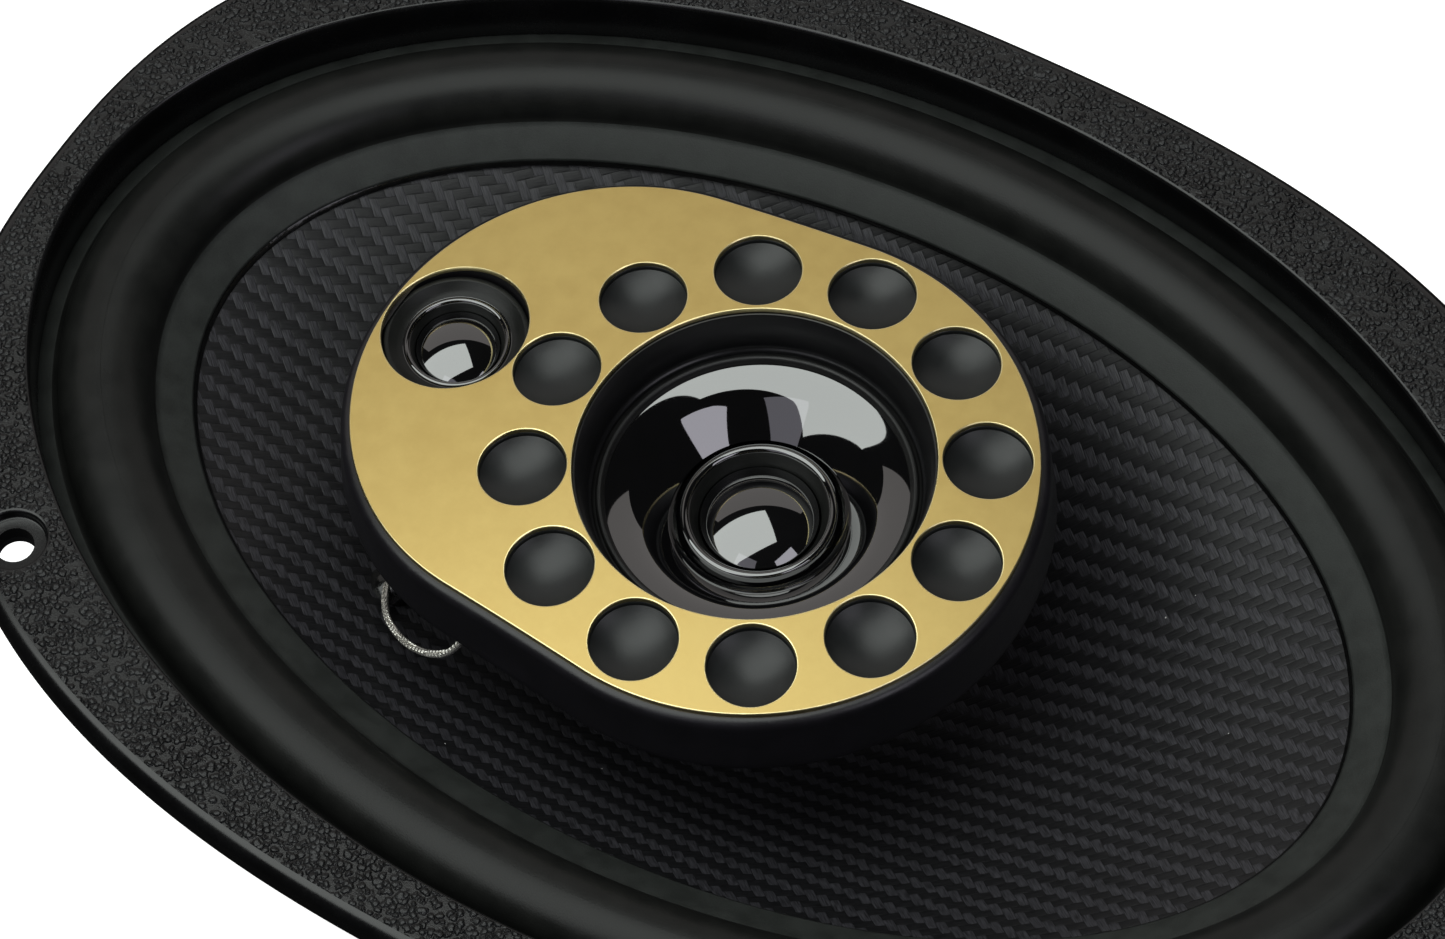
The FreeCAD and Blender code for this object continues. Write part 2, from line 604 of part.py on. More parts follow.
def make_midrange():
    """Midrange with a flared cone around the centre tweeter."""
    frame = turned([(24.9, 11.5), (25.2, 11.5), (25.2, 7.0), (27.4, 7.0), (27.4, 5.4),
                    (26.2, 5.4), (26.2, 2.6),
                    (21.6, -6.0), (21.6, -9.0), (MID_POT_RADIUS, -9.0), (MID_POT_RADIUS, -5.6),
                    (22.1, 2.8), (22.1, 4.4), (22.95, 4.4), (22.95, 5.3)])
    save("midrange_frame", frame)
    roll = turned([(22.85, 4.4), (22.85, 4.75), (22.35, 4.75), (21.45, 4.75, 21.9, 5.4),
                   (21.25, 4.75), (21.25, 4.5), (21.5, 4.5), (22.2, 4.5, 21.9, 5.1), (22.2, 4.4)])
    save("midrange_surround", roll)
    flare = turned([(21.4, 4.4), (16.7, 2.75, 18.95, 3.87), (12.0, -0.95, 14.28, 0.99), (12.0, -1.77),
                    (17.03, 2.25, 14.65, 0.52), (21.4, 3.8, 19.15, 3.3)])
    save("midrange_cone", flare)
    save("midrange_former", tube(16.55, 16.35, -11.0, 1.7))
    save("midrange_winding", tube(17.05, 16.56, -10.4, -7.2))
    pot = disc(MID_POT_RADIUS - 0.02, MID_POT_FLOOR_Z, -6.0)
    pot = pot.cut(disc(17.9, MID_POT_FLOOR_Z + 3, 0))
    pot = pot.fuse(disc(9.0, POST_TOP_Z, MID_POT_FLOOR_Z))
    pot = pot.cut(disc(BOLT_RADIUS + 0.05, POST_TOP_Z, MID_POT_FLOOR_Z + 1.5))
    save("midrange_pot", pot.removeSplitter())
    save("midrange_magnet", disc(13.0, MID_POT_FLOOR_Z + 3, -10.0))
    save("midrange_pole_plate", disc(15.4, -10.0, -7.4))


def make_centre_tweeter():
    """Knob-shaped tweeter fixed in front of the midrange's pole."""
    housing = turned([(7.5, -7.4), (11.6, -7.4), (11.6, -1.4), (11.3, -1.0), (11.1, -0.5),
                      (10.2, 0.15, 10.7, 0.0), (9.4, -0.6, 9.7, -0.05), (8.9, -1.6),
                      (7.5, -2.0)])
    save("centre_tweeter_housing", housing)
    save("centre_tweeter_dome", dome(7.3, -2.1, 0.6, -5.6))
    save("centre_tweeter_magnet", disc(6.2, -7.4, -4.2))


def make_side_tweeter():
    """Small tweeter in the nose of the pod."""
    base = POD_FLOOR_Z + 2
    housing = turned([(5.5, base), (9.2, base), (9.2, 6.0), (10.4, 6.0), (10.4, 7.4), (9.5, 7.4),
                      (9.2, 6.8), (8.3, 6.4), (7.7, 6.3), (7.3, 6.5, 7.5, 6.45),
                      (6.8, 6.1, 7.0, 6.4), (6.4, 5.2), (5.5, 4.9)], SIDE_X)
    save("side_tweeter_housing", housing)
    save("side_tweeter_dome", dome(5.3, 4.9, 6.9, 2.6, SIDE_X))
    save("side_tweeter_magnet", disc(4.5, base, 3.6, SIDE_X))


save("trim_ring", make_trim_ring())
save("basket", make_basket())
save("surround", make_surround())
save("woofer_cone", make_cone())
save("lead_eyelets", make_eyelets())
save("glue_dabs", make_glue_dabs())
save("spider", make_spider())
make_woofer_motor()
make_centre_post()
make_terminals()
make_leads()
save("face_plate", make_face_plate())
save("pod_housing", make_pod_housing())
make_pod_fittings()
make_midrange()
make_centre_tweeter()
make_side_tweeter()
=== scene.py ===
import logging
import math
from dataclasses import dataclass
from enum import Enum
from typing import Callable, Iterable, Sequence

import bmesh
import bpy
from mathutils import Matrix, Vector


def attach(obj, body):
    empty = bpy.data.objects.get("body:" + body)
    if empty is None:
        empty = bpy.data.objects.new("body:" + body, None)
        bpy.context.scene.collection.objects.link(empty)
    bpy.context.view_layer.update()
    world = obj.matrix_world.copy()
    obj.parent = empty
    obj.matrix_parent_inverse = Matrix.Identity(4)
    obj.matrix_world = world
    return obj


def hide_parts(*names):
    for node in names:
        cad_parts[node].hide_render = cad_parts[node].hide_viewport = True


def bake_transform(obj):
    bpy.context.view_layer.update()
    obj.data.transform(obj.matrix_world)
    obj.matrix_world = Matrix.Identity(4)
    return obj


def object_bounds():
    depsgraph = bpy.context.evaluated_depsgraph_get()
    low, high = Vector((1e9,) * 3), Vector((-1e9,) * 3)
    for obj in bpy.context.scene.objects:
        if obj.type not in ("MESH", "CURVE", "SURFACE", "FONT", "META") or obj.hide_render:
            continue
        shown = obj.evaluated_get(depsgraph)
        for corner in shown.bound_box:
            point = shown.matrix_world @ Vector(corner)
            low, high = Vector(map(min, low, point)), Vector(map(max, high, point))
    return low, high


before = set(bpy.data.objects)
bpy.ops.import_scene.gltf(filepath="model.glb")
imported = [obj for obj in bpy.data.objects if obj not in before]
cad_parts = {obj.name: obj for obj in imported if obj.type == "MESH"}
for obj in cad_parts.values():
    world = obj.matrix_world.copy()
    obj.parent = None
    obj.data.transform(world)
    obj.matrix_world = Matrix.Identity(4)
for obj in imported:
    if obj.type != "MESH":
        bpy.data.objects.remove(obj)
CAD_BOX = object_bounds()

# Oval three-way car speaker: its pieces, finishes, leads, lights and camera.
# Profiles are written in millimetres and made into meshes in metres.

LOG = logging.getLogger("speaker")
MM = 0.001
UP = Vector((0.0, 0.0, 1.0))

Point = tuple[float, float]
Color = tuple[float, float, float]
Socket = bpy.types.NodeSocket


class Body(Enum):
    """Bodies of the mechanism that a piece can ride on."""

    FRAME = "frame"
    WOOFER = "woofer_moving"
    MIDRANGE = "midrange_moving"
    CENTRE_TWEETER = "centre_tweeter_moving"
    SIDE_TWEETER = "side_tweeter_moving"


class Side(Enum):
    """The two long sides of the speaker."""

    NEAR = -1
    FAR = 1


# ---------------------------------------------------------------- node webs
@dataclass
class Web:
    """Short calls that add nodes to one tree and join them."""

    tree: bpy.types.NodeTree

    def node(self, kind: str, inputs: dict | None = None, **settings: object) -> bpy.types.Node:
        """Add a node.

        Args:
            kind: the node's type name.
            inputs: socket name to a value, or to the socket that feeds it.
            settings: properties of the node.

        Returns:
            The new node.
        """
        made = self.tree.nodes.new(kind)
        for key, value in settings.items():
            setattr(made, key, value)
        for key, value in (inputs or {}).items():
            self.feed(made.inputs[key], value)
        return made

    def feed(self, target: Socket, value: object) -> None:
        """Set a socket to a plain value, or link another socket to it."""
        if isinstance(value, bpy.types.NodeSocket):
            self.tree.links.new(value, target)
        elif target.type == "RGBA" and len(value) == 3:
            target.default_value = (*value, 1.0)
        else:
            target.default_value = value

    def math(self, operation: str, *values: object, clamp: bool = False) -> Socket:
        """Result of one arithmetic step on numbers or sockets."""
        made = self.node("ShaderNodeMath", operation=operation, use_clamp=clamp)
        for target, value in zip(made.inputs, values):
            self.feed(target, value)
        return made.outputs[0]

    def blend(self, factor: object, low: object, high: object) -> Socket:
        """Number between two numbers."""
        made = self.node("ShaderNodeMix", data_type="FLOAT")
        for target, value in zip((made.inputs[0], made.inputs[2], made.inputs[3]), (factor, low, high)):
            self.feed(target, value)
        return made.outputs[0]

    def tint(self, factor: object, low: object, high: object) -> Socket:
        """Colour between two colours."""
        made = self.node("ShaderNodeMix", data_type="RGBA")
        for target, value in zip((made.inputs[0], made.inputs[6], made.inputs[7]), (factor, low, high)):
            self.feed(target, value)
        return made.outputs[2]

    def noise(self, vector: object, scale: object, detail: float = 4.0, rough: float = 0.5) -> Socket:
        """Soft noise from 0 to 1."""
        made = self.node("ShaderNodeTexNoise", {"Vector": vector, "Scale": scale, "Detail": detail,
                                                "Roughness": rough})
        return made.outputs[0]

    def stretch(self, value: Socket, low: float, high: float) -> Socket:
        """A value from low to high made to run from 0 to 1."""
        made = self.node("ShaderNodeMapRange", {"Value": value, "From Min": low, "From Max": high},
                         interpolation_type="SMOOTHSTEP")
        return made.outputs[0]

    def pair(self, x: object, y: object, z: object = 0.0) -> Socket:
        """Vector out of numbers."""
        return self.node("ShaderNodeCombineXYZ", {"X": x, "Y": y, "Z": z}).outputs[0]


def group(name: str, inputs: Sequence[tuple[str, str, object]], outputs: Sequence[tuple[str, str]],
          build: Callable[[Web, dict[str, Socket]], dict[str, Socket]]) -> bpy.types.NodeTree:
    """Shared effect as a node group, built the first time it is asked for.

    Args:
        name: the group's name.
        inputs: name, socket type and default value of each input.
        outputs: name and socket type of each output.
        build: fills the tree; gets the inputs' sockets and gives the outputs' ones.

    Returns:
        The group.
    """
    found = bpy.data.node_groups.get(name)
    if found:
        return found
    tree = bpy.data.node_groups.new(name, "ShaderNodeTree")
    for label, kind, value in inputs:
        made = tree.interface.new_socket(label, in_out="INPUT", socket_type=kind)
        if value is not None:
            made.default_value = value
    for label, kind in outputs:
        tree.interface.new_socket(label, in_out="OUTPUT", socket_type=kind)
    web = Web(tree)
    source = web.node("NodeGroupInput")
    sink = web.node("NodeGroupOutput")
    results = build(web, {label: source.outputs[label] for label, _, _ in inputs})
    for label, socket in results.items():
        tree.links.new(socket, sink.inputs[label])
    return tree


FLOAT, VECTOR, RGBA = "NodeSocketFloat", "NodeSocketVector", "NodeSocketColor"


def mottle_group() -> bpy.types.NodeTree:
    """Tints that drift into each other, with matching gloss and fine relief."""

    def build(web: Web, given: dict[str, Socket]) -> dict[str, Socket]:
        fine = web.noise(given["Vector"], given["Scale"], 5.0, 0.6)
        broad = web.noise(given["Vector"], web.math("MULTIPLY", given["Scale"], 0.06), 3.0)
        drift = web.math("ADD", web.math("MULTIPLY", fine, 0.45), web.math("MULTIPLY", broad, 0.55))
        share = web.stretch(drift, 0.3, 0.7)
        return {"Color": web.tint(share, given["Dark"], given["Light"]),
                "Roughness": web.blend(share, given["Smooth"], given["Rough"]),
                "Height": fine}

    return group("mottle", [("Vector", VECTOR, None), ("Scale", FLOAT, 1.0), ("Dark", RGBA, None),
                            ("Light", RGBA, None), ("Smooth", FLOAT, 0.3), ("Rough", FLOAT, 0.5)],
                 [("Color", RGBA), ("Roughness", FLOAT), ("Height", FLOAT)], build)


def pebble_group() -> bpy.types.NodeTree:
    """Leather-like pebbles parted by creases."""

    def build(web: Web, given: dict[str, Socket]) -> dict[str, Socket]:
        wander = web.node("ShaderNodeTexNoise", {"Vector": given["Vector"], "Scale": given["Scale"],
                                                 "Detail": 2.0}).outputs["Color"]
        moved = web.node("ShaderNodeVectorMath", {0: given["Vector"], 1: wander}, operation="ADD")
        cells = web.node("ShaderNodeTexVoronoi", {"Vector": moved.outputs[0], "Scale": given["Scale"]})
        crease = web.stretch(cells.outputs["Distance"], 0.7, 0.25)
        fine = web.noise(given["Vector"], web.math("MULTIPLY", given["Scale"], 5.0), 2.0)
        height = web.math("ADD", crease, web.math("MULTIPLY", fine, 0.12))
        # Top is 1 on the pebble tops and 0 in the creases: it shapes the relief and also drives painted
        # highlight on the tops and painted shade in the creases.
        return {"Height": height, "Top": crease}

    return group("pebble", [("Vector", VECTOR, None), ("Scale", FLOAT, 1.0)],
                 [("Height", FLOAT), ("Top", FLOAT)], build)


def twill_group() -> bpy.types.NodeTree:
    """Two-over-two twill of flat tows: which tow is on top, its relief and its fibres."""

    def build(web: Web, given: dict[str, Socket]) -> dict[str, Socket]:
        parts = web.node("ShaderNodeSeparateXYZ", {0: given["Vector"]})
        x, y = parts.outputs[0], parts.outputs[1]
        wobble = web.math("MULTIPLY_ADD", web.noise(given["Vector"], 0.12, 2.0), 0.9, -0.45)
        y = web.math("ADD", y, wobble)
        across = web.math("DIVIDE", x, given["Step"])
        along = web.math("DIVIDE", y, web.math("MULTIPLY", given["Band"], 0.5))
        p = web.math("ADD", along, across)
        q = web.math("SUBTRACT", along, across)
        fp, fq = web.math("FRACT", p), web.math("FRACT", q)
        order = web.math("FLOORED_MODULO", web.math("ADD", web.math("FLOOR", p), web.math("FLOOR", q)), 4.0)
        warp = web.math("LESS_THAN", order, 1.5)
        far = web.math("FLOORED_MODULO", order, 2.0)
        run = web.math("MULTIPLY", web.math("ADD", far, web.blend(warp, fp, fq)), 0.5)
        cross = web.blend(warp, fq, fp)
        hump = web.math("MULTIPLY", web.math("MULTIPLY", run, web.math("SUBTRACT", 1.0, run)), 4.0)
        crown = web.math("MULTIPLY", web.math("MULTIPLY", cross, web.math("SUBTRACT", 1.0, cross)), 4.0)
        body = web.math("MULTIPLY", web.math("POWER", hump, 0.5), web.math("POWER", crown, 0.35))
        lines_p = web.noise(web.pair(web.math("MULTIPLY", p, 9.0), web.math("MULTIPLY", q, 0.7)), 1.0, 3.0)
        lines_q = web.noise(web.pair(web.math("MULTIPLY", q, 9.0), web.math("MULTIPLY", p, 0.7), 7.0), 1.0, 3.0)
        fibre = web.blend(warp, lines_q, lines_p)
        height = web.math("ADD", body, web.math("MULTIPLY", fibre, 0.35))
        return {"Warp": warp, "Height": height, "Fibre": fibre, "Crown": body}

    return group("twill", [("Vector", VECTOR, None), ("Band", FLOAT, 3.4), ("Step", FLOAT, 2.1)],
                 [("Warp", FLOAT), ("Height", FLOAT), ("Fibre", FLOAT), ("Crown", FLOAT)], build)


def dust_group() -> bpy.types.NodeTree:
    """Sparse specks of dust."""

    def build(web: Web, given: dict[str, Socket]) -> dict[str, Socket]:
        cells = web.node("ShaderNodeTexVoronoi", {"Vector": given["Vector"], "Scale": given["Scale"]})
        spot = web.math("LESS_THAN", cells.outputs["Distance"], 0.05)
        rare = web.math("GREATER_THAN", web.node(
            "ShaderNodeSeparateColor", {0: cells.outputs["Color"]}).outputs[0], given["Rarity"])
        return {"Mask": web.math("MULTIPLY", spot, rare)}

    return group("dust", [("Vector", VECTOR, None), ("Scale", FLOAT, 0.4), ("Rarity", FLOAT, 0.9)],
                 [("Mask", FLOAT)], build)


# ---------------------------------------------------------------- finishes
@dataclass(frozen=True)
class Finish:
    """Plain finish: two tints that drift into each other, gloss and fine relief."""

    name: str
    dark: Color
    light: Color
    smooth: float
    rough: float
    metallic: float = 0.0
    grain: float = 0.5
    relief: float = 0.01
    coat: float = 0.0
    specular: float = 0.5
    glow: float = 0.0
    coat_ior: float = 1.5

    def material(self) -> bpy.types.Material:
        """The finish as a material, built the first time it is asked for."""
        label = f"{self.name}_finish"
        found = bpy.data.materials.get(label)
        if found:
            return found
        made = bpy.data.materials.new(label)
        made.use_nodes = True
        made.diffuse_color = (*self.light, 1.0)
        web = Web(made.node_tree)
        web.tree.nodes.clear()
        place = web.node("ShaderNodeTexCoord").outputs["Object"]
        vector = web.node("ShaderNodeMapping", {"Vector": place, "Scale": (1 / MM,) * 3}).outputs[0]
        color, roughness, height = self.pattern(web, vector)
        bump = web.node("ShaderNodeBump", {"Height": height, "Distance": self.relief * MM})
        shader = web.node("ShaderNodeBsdfPrincipled", {
            "Base Color": color, "Roughness": roughness, "Normal": bump.outputs[0],
            "Metallic": self.metallic, "Coat Weight": self.coat, "Coat Roughness": 0.03,
            "Coat IOR": self.coat_ior,
            "Specular IOR Level": self.specular, "Emission Color": (1.0, 1.0, 1.0),
            "Emission Strength": self.glow})
        web.node("ShaderNodeOutputMaterial", {"Surface": shader.outputs[0]})
        return made

    def mottled(self, web: Web, vector: Socket) -> bpy.types.Node:
        """The shared mottle effect with this finish's own values."""
        made = web.node("ShaderNodeGroup", node_tree=mottle_group())
        for key, value in (("Vector", vector), ("Scale", 1 / self.grain), ("Dark", self.dark),
                           ("Light", self.light), ("Smooth", self.smooth), ("Rough", self.rough)):
            web.feed(made.inputs[key], value)
        return made

    def pattern(self, web: Web, vector: Socket) -> tuple[Socket, Socket, Socket]:
        """Colour, roughness and height of the finish."""
        made = self.mottled(web, vector)
        return made.outputs["Color"], made.outputs["Roughness"], made.outputs["Height"]


@dataclass(frozen=True)
class Pebbled(Finish):
    """Moulded plastic with a leather-like grain."""

    pebble: float = 1.0

    def pattern(self, web: Web, vector: Socket) -> tuple[Socket, Socket, Socket]:
        """Colour, roughness and height of the grain, with painted highlight on the pebble tops and painted shade
        in the creases.
        """
        base = self.mottled(web, vector)
        grain = web.node("ShaderNodeGroup", node_tree=pebble_group())
        web.feed(grain.inputs["Vector"], vector)
        web.feed(grain.inputs["Scale"], 1 / self.pebble)
        # Painted highlight and painted shade: pebble tops take the lighter tint, creases the dark one.
        color = web.tint(grain.outputs["Top"], self.dark, base.outputs["Color"])
        return color, base.outputs["Roughness"], grain.outputs["Height"]


@dataclass(frozen=True)
class Twill(Finish):
    """Carbon twill pressed into the diaphragm."""

    # Colour of the weft tows, painted darker than the warp tows as painted sheen for the light that the real
    # cloth catches on one set of tows.
    weft_shade: Color = (0.02, 0.02, 0.02)
    band: float = 3.4
    step: float = 2.1

    def pattern(self, web: Web, vector: Socket) -> tuple[Socket, Socket, Socket]:
        """Colour, roughness and height of the cloth, with painted sheen that makes the warp tows lighter than
        the weft tows, and painted shade where the tows dip at their edges and ends.
        """
        cloth = web.node("ShaderNodeGroup", node_tree=twill_group())
        for key, value in (("Vector", vector), ("Band", self.band), ("Step", self.step)):
            web.feed(cloth.inputs[key], value)
        # Painted sheen: warp tows take the light tint and weft tows the darker one.
        tow = web.tint(cloth.outputs["Warp"], self.weft_shade, self.light)
        threads = web.tint(web.stretch(cloth.outputs["Fibre"], 0.2, 0.8), self.dark, tow)
        # Painted shade where the tows dip at their edges and ends.
        color = web.tint(web.stretch(cloth.outputs["Crown"], 0.0, 0.5), self.dark, threads)
        dust = web.node("ShaderNodeGroup", node_tree=dust_group())
        web.feed(dust.inputs["Vector"], vector)
        web.feed(dust.inputs["Rarity"], 0.965)
        color = web.tint(dust.outputs["Mask"], color, (0.5, 0.5, 0.48))
        gloss = web.blend(cloth.outputs["Fibre"], self.smooth, self.rough)
        return color, gloss, cloth.outputs["Height"]


@dataclass(frozen=True)
class Brushed(Finish):
    """Metal with fine straight brush lines along one direction."""

    stretch: float = 40.0

    def pattern(self, web: Web, vector: Socket) -> tuple[Socket, Socket, Socket]:
        """Colour, roughness and height of the brushed metal."""
        base = self.mottled(web, vector)
        thin = web.node("ShaderNodeMapping", {"Vector": vector, "Scale": (1 / self.stretch, 1.0, 1.0)})
        lines = web.noise(thin.outputs[0], 9.0, 3.0, 0.7)
        gloss = web.math("MULTIPLY_ADD", lines, 0.06, base.outputs["Roughness"])
        return base.outputs["Color"], gloss, lines


@dataclass(frozen=True)
class Wound(Finish):
    """Layers of wire wound round an upright axis, or a ribbed cloth."""

    pitch: float = 0.3

    def pattern(self, web: Web, vector: Socket) -> tuple[Socket, Socket, Socket]:
        """Colour, roughness and height of the windings; the grooves between turns are painted darker as painted
        shade.
        """
        base = self.mottled(web, vector)
        z = web.node("ShaderNodeSeparateXYZ", {0: vector}).outputs[2]
        turn = web.math("ABSOLUTE", web.math("SINE", web.math("MULTIPLY", z, math.pi / self.pitch)))
        # Painted shade: the colour darkens in the grooves between turns.
        color = web.tint(web.math("POWER", turn, 0.5), self.dark, base.outputs["Color"])
        return color, base.outputs["Roughness"], turn


@dataclass(frozen=True)
class Woven(Finish):
    """Coarse plain cloth stiffened with resin."""

    thread: float = 0.55

    def pattern(self, web: Web, vector: Socket) -> tuple[Socket, Socket, Socket]:
        """Colour, roughness and height of the cloth; the dips between threads are painted darker as painted
        shade.
        """
        base = self.mottled(web, vector)
        parts = web.node("ShaderNodeSeparateXYZ", {0: vector})
        waves = [web.math("SINE", web.math("MULTIPLY", parts.outputs[axis], math.pi / self.thread))
                 for axis in (0, 1)]
        height = web.math("ABSOLUTE", web.math("MULTIPLY", *waves))
        # Painted shade: the colour darkens in the dips between threads.
        color = web.tint(web.math("POWER", height, 0.4), self.dark, base.outputs["Color"])
        return color, base.outputs["Roughness"], height


# Grained trim: its dark tint is also painted shade in the creases, and its light tint also painted highlight on
# the pebble tops.
GRAIN = Pebbled("leather_grain_plastic", (0.003, 0.003, 0.0033), (0.034, 0.036, 0.037), 0.34, 0.5,
                relief=0.5, pebble=0.95)
TRIM = Finish("smooth_trim_plastic", (0.003, 0.003, 0.0032), (0.006, 0.006, 0.0065), 0.2, 0.3,
              relief=0.004)
PAINT = Finish("black_painted_steel", (0.008, 0.008, 0.0085), (0.014, 0.014, 0.015), 0.34, 0.46,
               grain=0.35, relief=0.03, coat=0.2)
RUBBER = Finish("surround_rubber", (0.008, 0.0085, 0.008), (0.013, 0.0135, 0.0125), 0.3, 0.38,
                grain=0.25, relief=0.02, specular=0.22)
LIP = Finish("lip_rubber", (0.017, 0.019, 0.0175), (0.032, 0.0355, 0.033), 0.5, 0.62, grain=0.22, relief=0.03,
             specular=0.3)
# Carbon: the weft colour is painted sheen, and the dark tint is also painted shade where the tows dip.
CARBON = Twill("carbon_twill", (0.004, 0.004, 0.0045), (0.056, 0.055, 0.063), 0.34, 0.5, relief=0.065,
               weft_shade=(0.013, 0.013, 0.0145), specular=0.3)
GLUE = Finish("black_glue", (0.003, 0.003, 0.003), (0.006, 0.006, 0.006), 0.08, 0.2, grain=2.5,
              relief=0.12)
# Spider cloth: its dark tint is also the painted shade in the dips between threads.
SPIDER = Woven("spider_cloth", (0.22, 0.14, 0.05), (0.55, 0.4, 0.16), 0.7, 0.85, relief=0.12)
ALUMINIUM = Brushed("former_aluminium", (0.5, 0.5, 0.52), (0.7, 0.7, 0.72), 0.3, 0.45, metallic=1.0,
                    relief=0.008)
# Copper: its dark tint is also the painted shade in the grooves between turns.
COPPER = Wound("copper_winding", (0.1, 0.03, 0.012), (0.6, 0.24, 0.1), 0.25, 0.4, metallic=1.0,
               relief=0.1)
ZINC = Finish("zinc_plated_steel", (0.3, 0.3, 0.29), (0.52, 0.52, 0.5), 0.24, 0.42, metallic=1.0,
              grain=0.8, relief=0.01)
FERRITE = Finish("sintered_ferrite", (0.012, 0.012, 0.013), (0.04, 0.04, 0.043), 0.5, 0.75, grain=0.4,
                 relief=0.05)
BOOT = Finish("moulded_boot_rubber", (0.006, 0.006, 0.006), (0.013, 0.013, 0.013), 0.45, 0.6, grain=0.4,
              relief=0.03)
FIBRE = Finish("fibre_board", (0.1, 0.045, 0.018), (0.2, 0.1, 0.045), 0.55, 0.75, grain=0.8, relief=0.04)
TINNED = Finish("tinned_brass", (0.5, 0.48, 0.42), (0.72, 0.7, 0.62), 0.22, 0.4, metallic=1.0, grain=1.2,
                relief=0.01)
TINSEL = Finish("tinsel_braid", (0.62, 0.6, 0.54), (1.0, 0.98, 0.92), 0.2, 0.36, metallic=0.85, grain=0.25,
                relief=0.02)
GOLD = Brushed("satin_gold", (0.62, 0.45, 0.16), (0.7, 0.53, 0.2), 0.46, 0.52, metallic=1.0,
               grain=3.0, relief=0.0006)
# Brighter gold for the plate's walls and rounded edges: a painted highlight where they catch the light, with a
# smoother gloss.
BRIGHT_GOLD = Finish("highlit_gold_edge", (0.88, 0.74, 0.36), (0.96, 0.84, 0.48), 0.26, 0.36, metallic=1.0,
                     grain=2.0, relief=0.001)
POD = Finish("satin_pod_plastic", (0.0065, 0.006, 0.0075), (0.0105, 0.0095, 0.0125), 0.3, 0.4, grain=0.3,
             relief=0.012)
DISH = Finish("dish_plastic", (0.008, 0.009, 0.0095), (0.013, 0.015, 0.015), 0.34, 0.44, grain=0.25,
              relief=0.015)
GLOSS = Finish("gloss_black", (0.0015, 0.0015, 0.0017), (0.0025, 0.0025, 0.003), 0.02, 0.05, grain=4.0,
               relief=0.0008, coat=1.0, specular=1.0, coat_ior=1.85)
DOME = Finish("glazed_dome_film", (0.002, 0.002, 0.0022), (0.004, 0.004, 0.0045), 0.02, 0.05, grain=4.0,
              relief=0.0008, coat=1.0, specular=1.0, coat_ior=1.9)
SATIN = Finish("satin_frame_plastic", (0.005, 0.005, 0.0055), (0.009, 0.009, 0.01), 0.28, 0.38, grain=0.3,
               relief=0.01)
SOFT = Finish("midrange_rubber", (0.004, 0.004, 0.004), (0.008, 0.008, 0.008), 0.4, 0.55, grain=0.25,
              relief=0.01)
SLEEVE = Finish("capacitor_sleeve", (0.01, 0.03, 0.2), (0.015, 0.05, 0.3), 0.2, 0.35, grain=2.0)
NICKEL = Finish("nickel_plate", (0.5, 0.5, 0.5), (0.65, 0.65, 0.64), 0.15, 0.3, metallic=1.0, grain=1.5)
PALE = Finish("pale_floor", (0.84, 0.84, 0.84), (0.88, 0.88, 0.88), 0.7, 0.8, grain=30.0, relief=0.0,
              specular=0.1, glow=0.75)


# ---------------------------------------------------------------- mesh tools
def dress(piece: bpy.types.Object, *finishes: Finish) -> None:
    """Give a piece its finishes, in slot order."""
    if piece.data.materials:
        piece.data.materials.clear()
    for finish in finishes:
        piece.data.materials.append(finish.material())


def to_piece(name: str, bm: bmesh.types.BMesh, *finishes: Finish, angle: float = 35.0) -> bpy.types.Object:
    """Turn a finished bmesh into a shaded and dressed object at the origin.

    Args:
        name: name of the piece.
        bm: its mesh in metres; freed here.
        finishes: its finishes, in slot order.
        angle: edges sharper than this, in degrees, stay hard.

    Returns:
        The object, linked to the scene.
    """
    mesh = bpy.data.meshes.new(name)
    bm.to_mesh(mesh)
    bm.free()
    mesh.polygons.foreach_set("use_smooth", [True] * len(mesh.polygons))
    mesh.set_sharp_from_angle(angle=math.radians(angle))
    piece = bpy.data.objects.new(name, mesh)
    bpy.context.scene.collection.objects.link(piece)
    dress(piece, *finishes)
    return piece


def fasten(piece: bpy.types.Object, body: Body, slot: str, *nodes: str) -> bpy.types.Object:
    """Make a piece ride on a body and stand for CAD nodes."""
    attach(piece, body.value)
    if nodes:
        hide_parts(*nodes)
    LOG.info("%s: %d faces on %s", piece.name, len(piece.data.polygons), body.value)
    return piece


def arc(start: Point, end: Point, sag: float, count: int = 8) -> list[Point]:
    """Points along a shallow arc between two points, without the first one.

    Args:
        start, end: ends of the arc as (r, z).
        sag: how far its middle stands to the left of the line from start to end.
        count: number of steps.

    Returns:
        The points, ending with end.
    """
    dx, dz = end[0] - start[0], end[1] - start[1]
    chord = math.hypot(dx, dz)
    points = []
    radius = (chord ** 2 / 4 + sag ** 2) / (2 * abs(sag))
    half = math.asin(min(1.0, chord / 2 / radius))
    if abs(sag) > chord / 2:
        half = math.pi - half
    for index in range(1, count + 1):
        turn = -half + 2 * half * index / count
        along = 0.5 + radius * math.sin(turn) / chord
        rise = math.copysign(radius * (math.cos(turn) - math.cos(half)), sag)
        points.append((start[0] + dx * along - dz / chord * rise, start[1] + dz * along + dx / chord * rise))
    return points


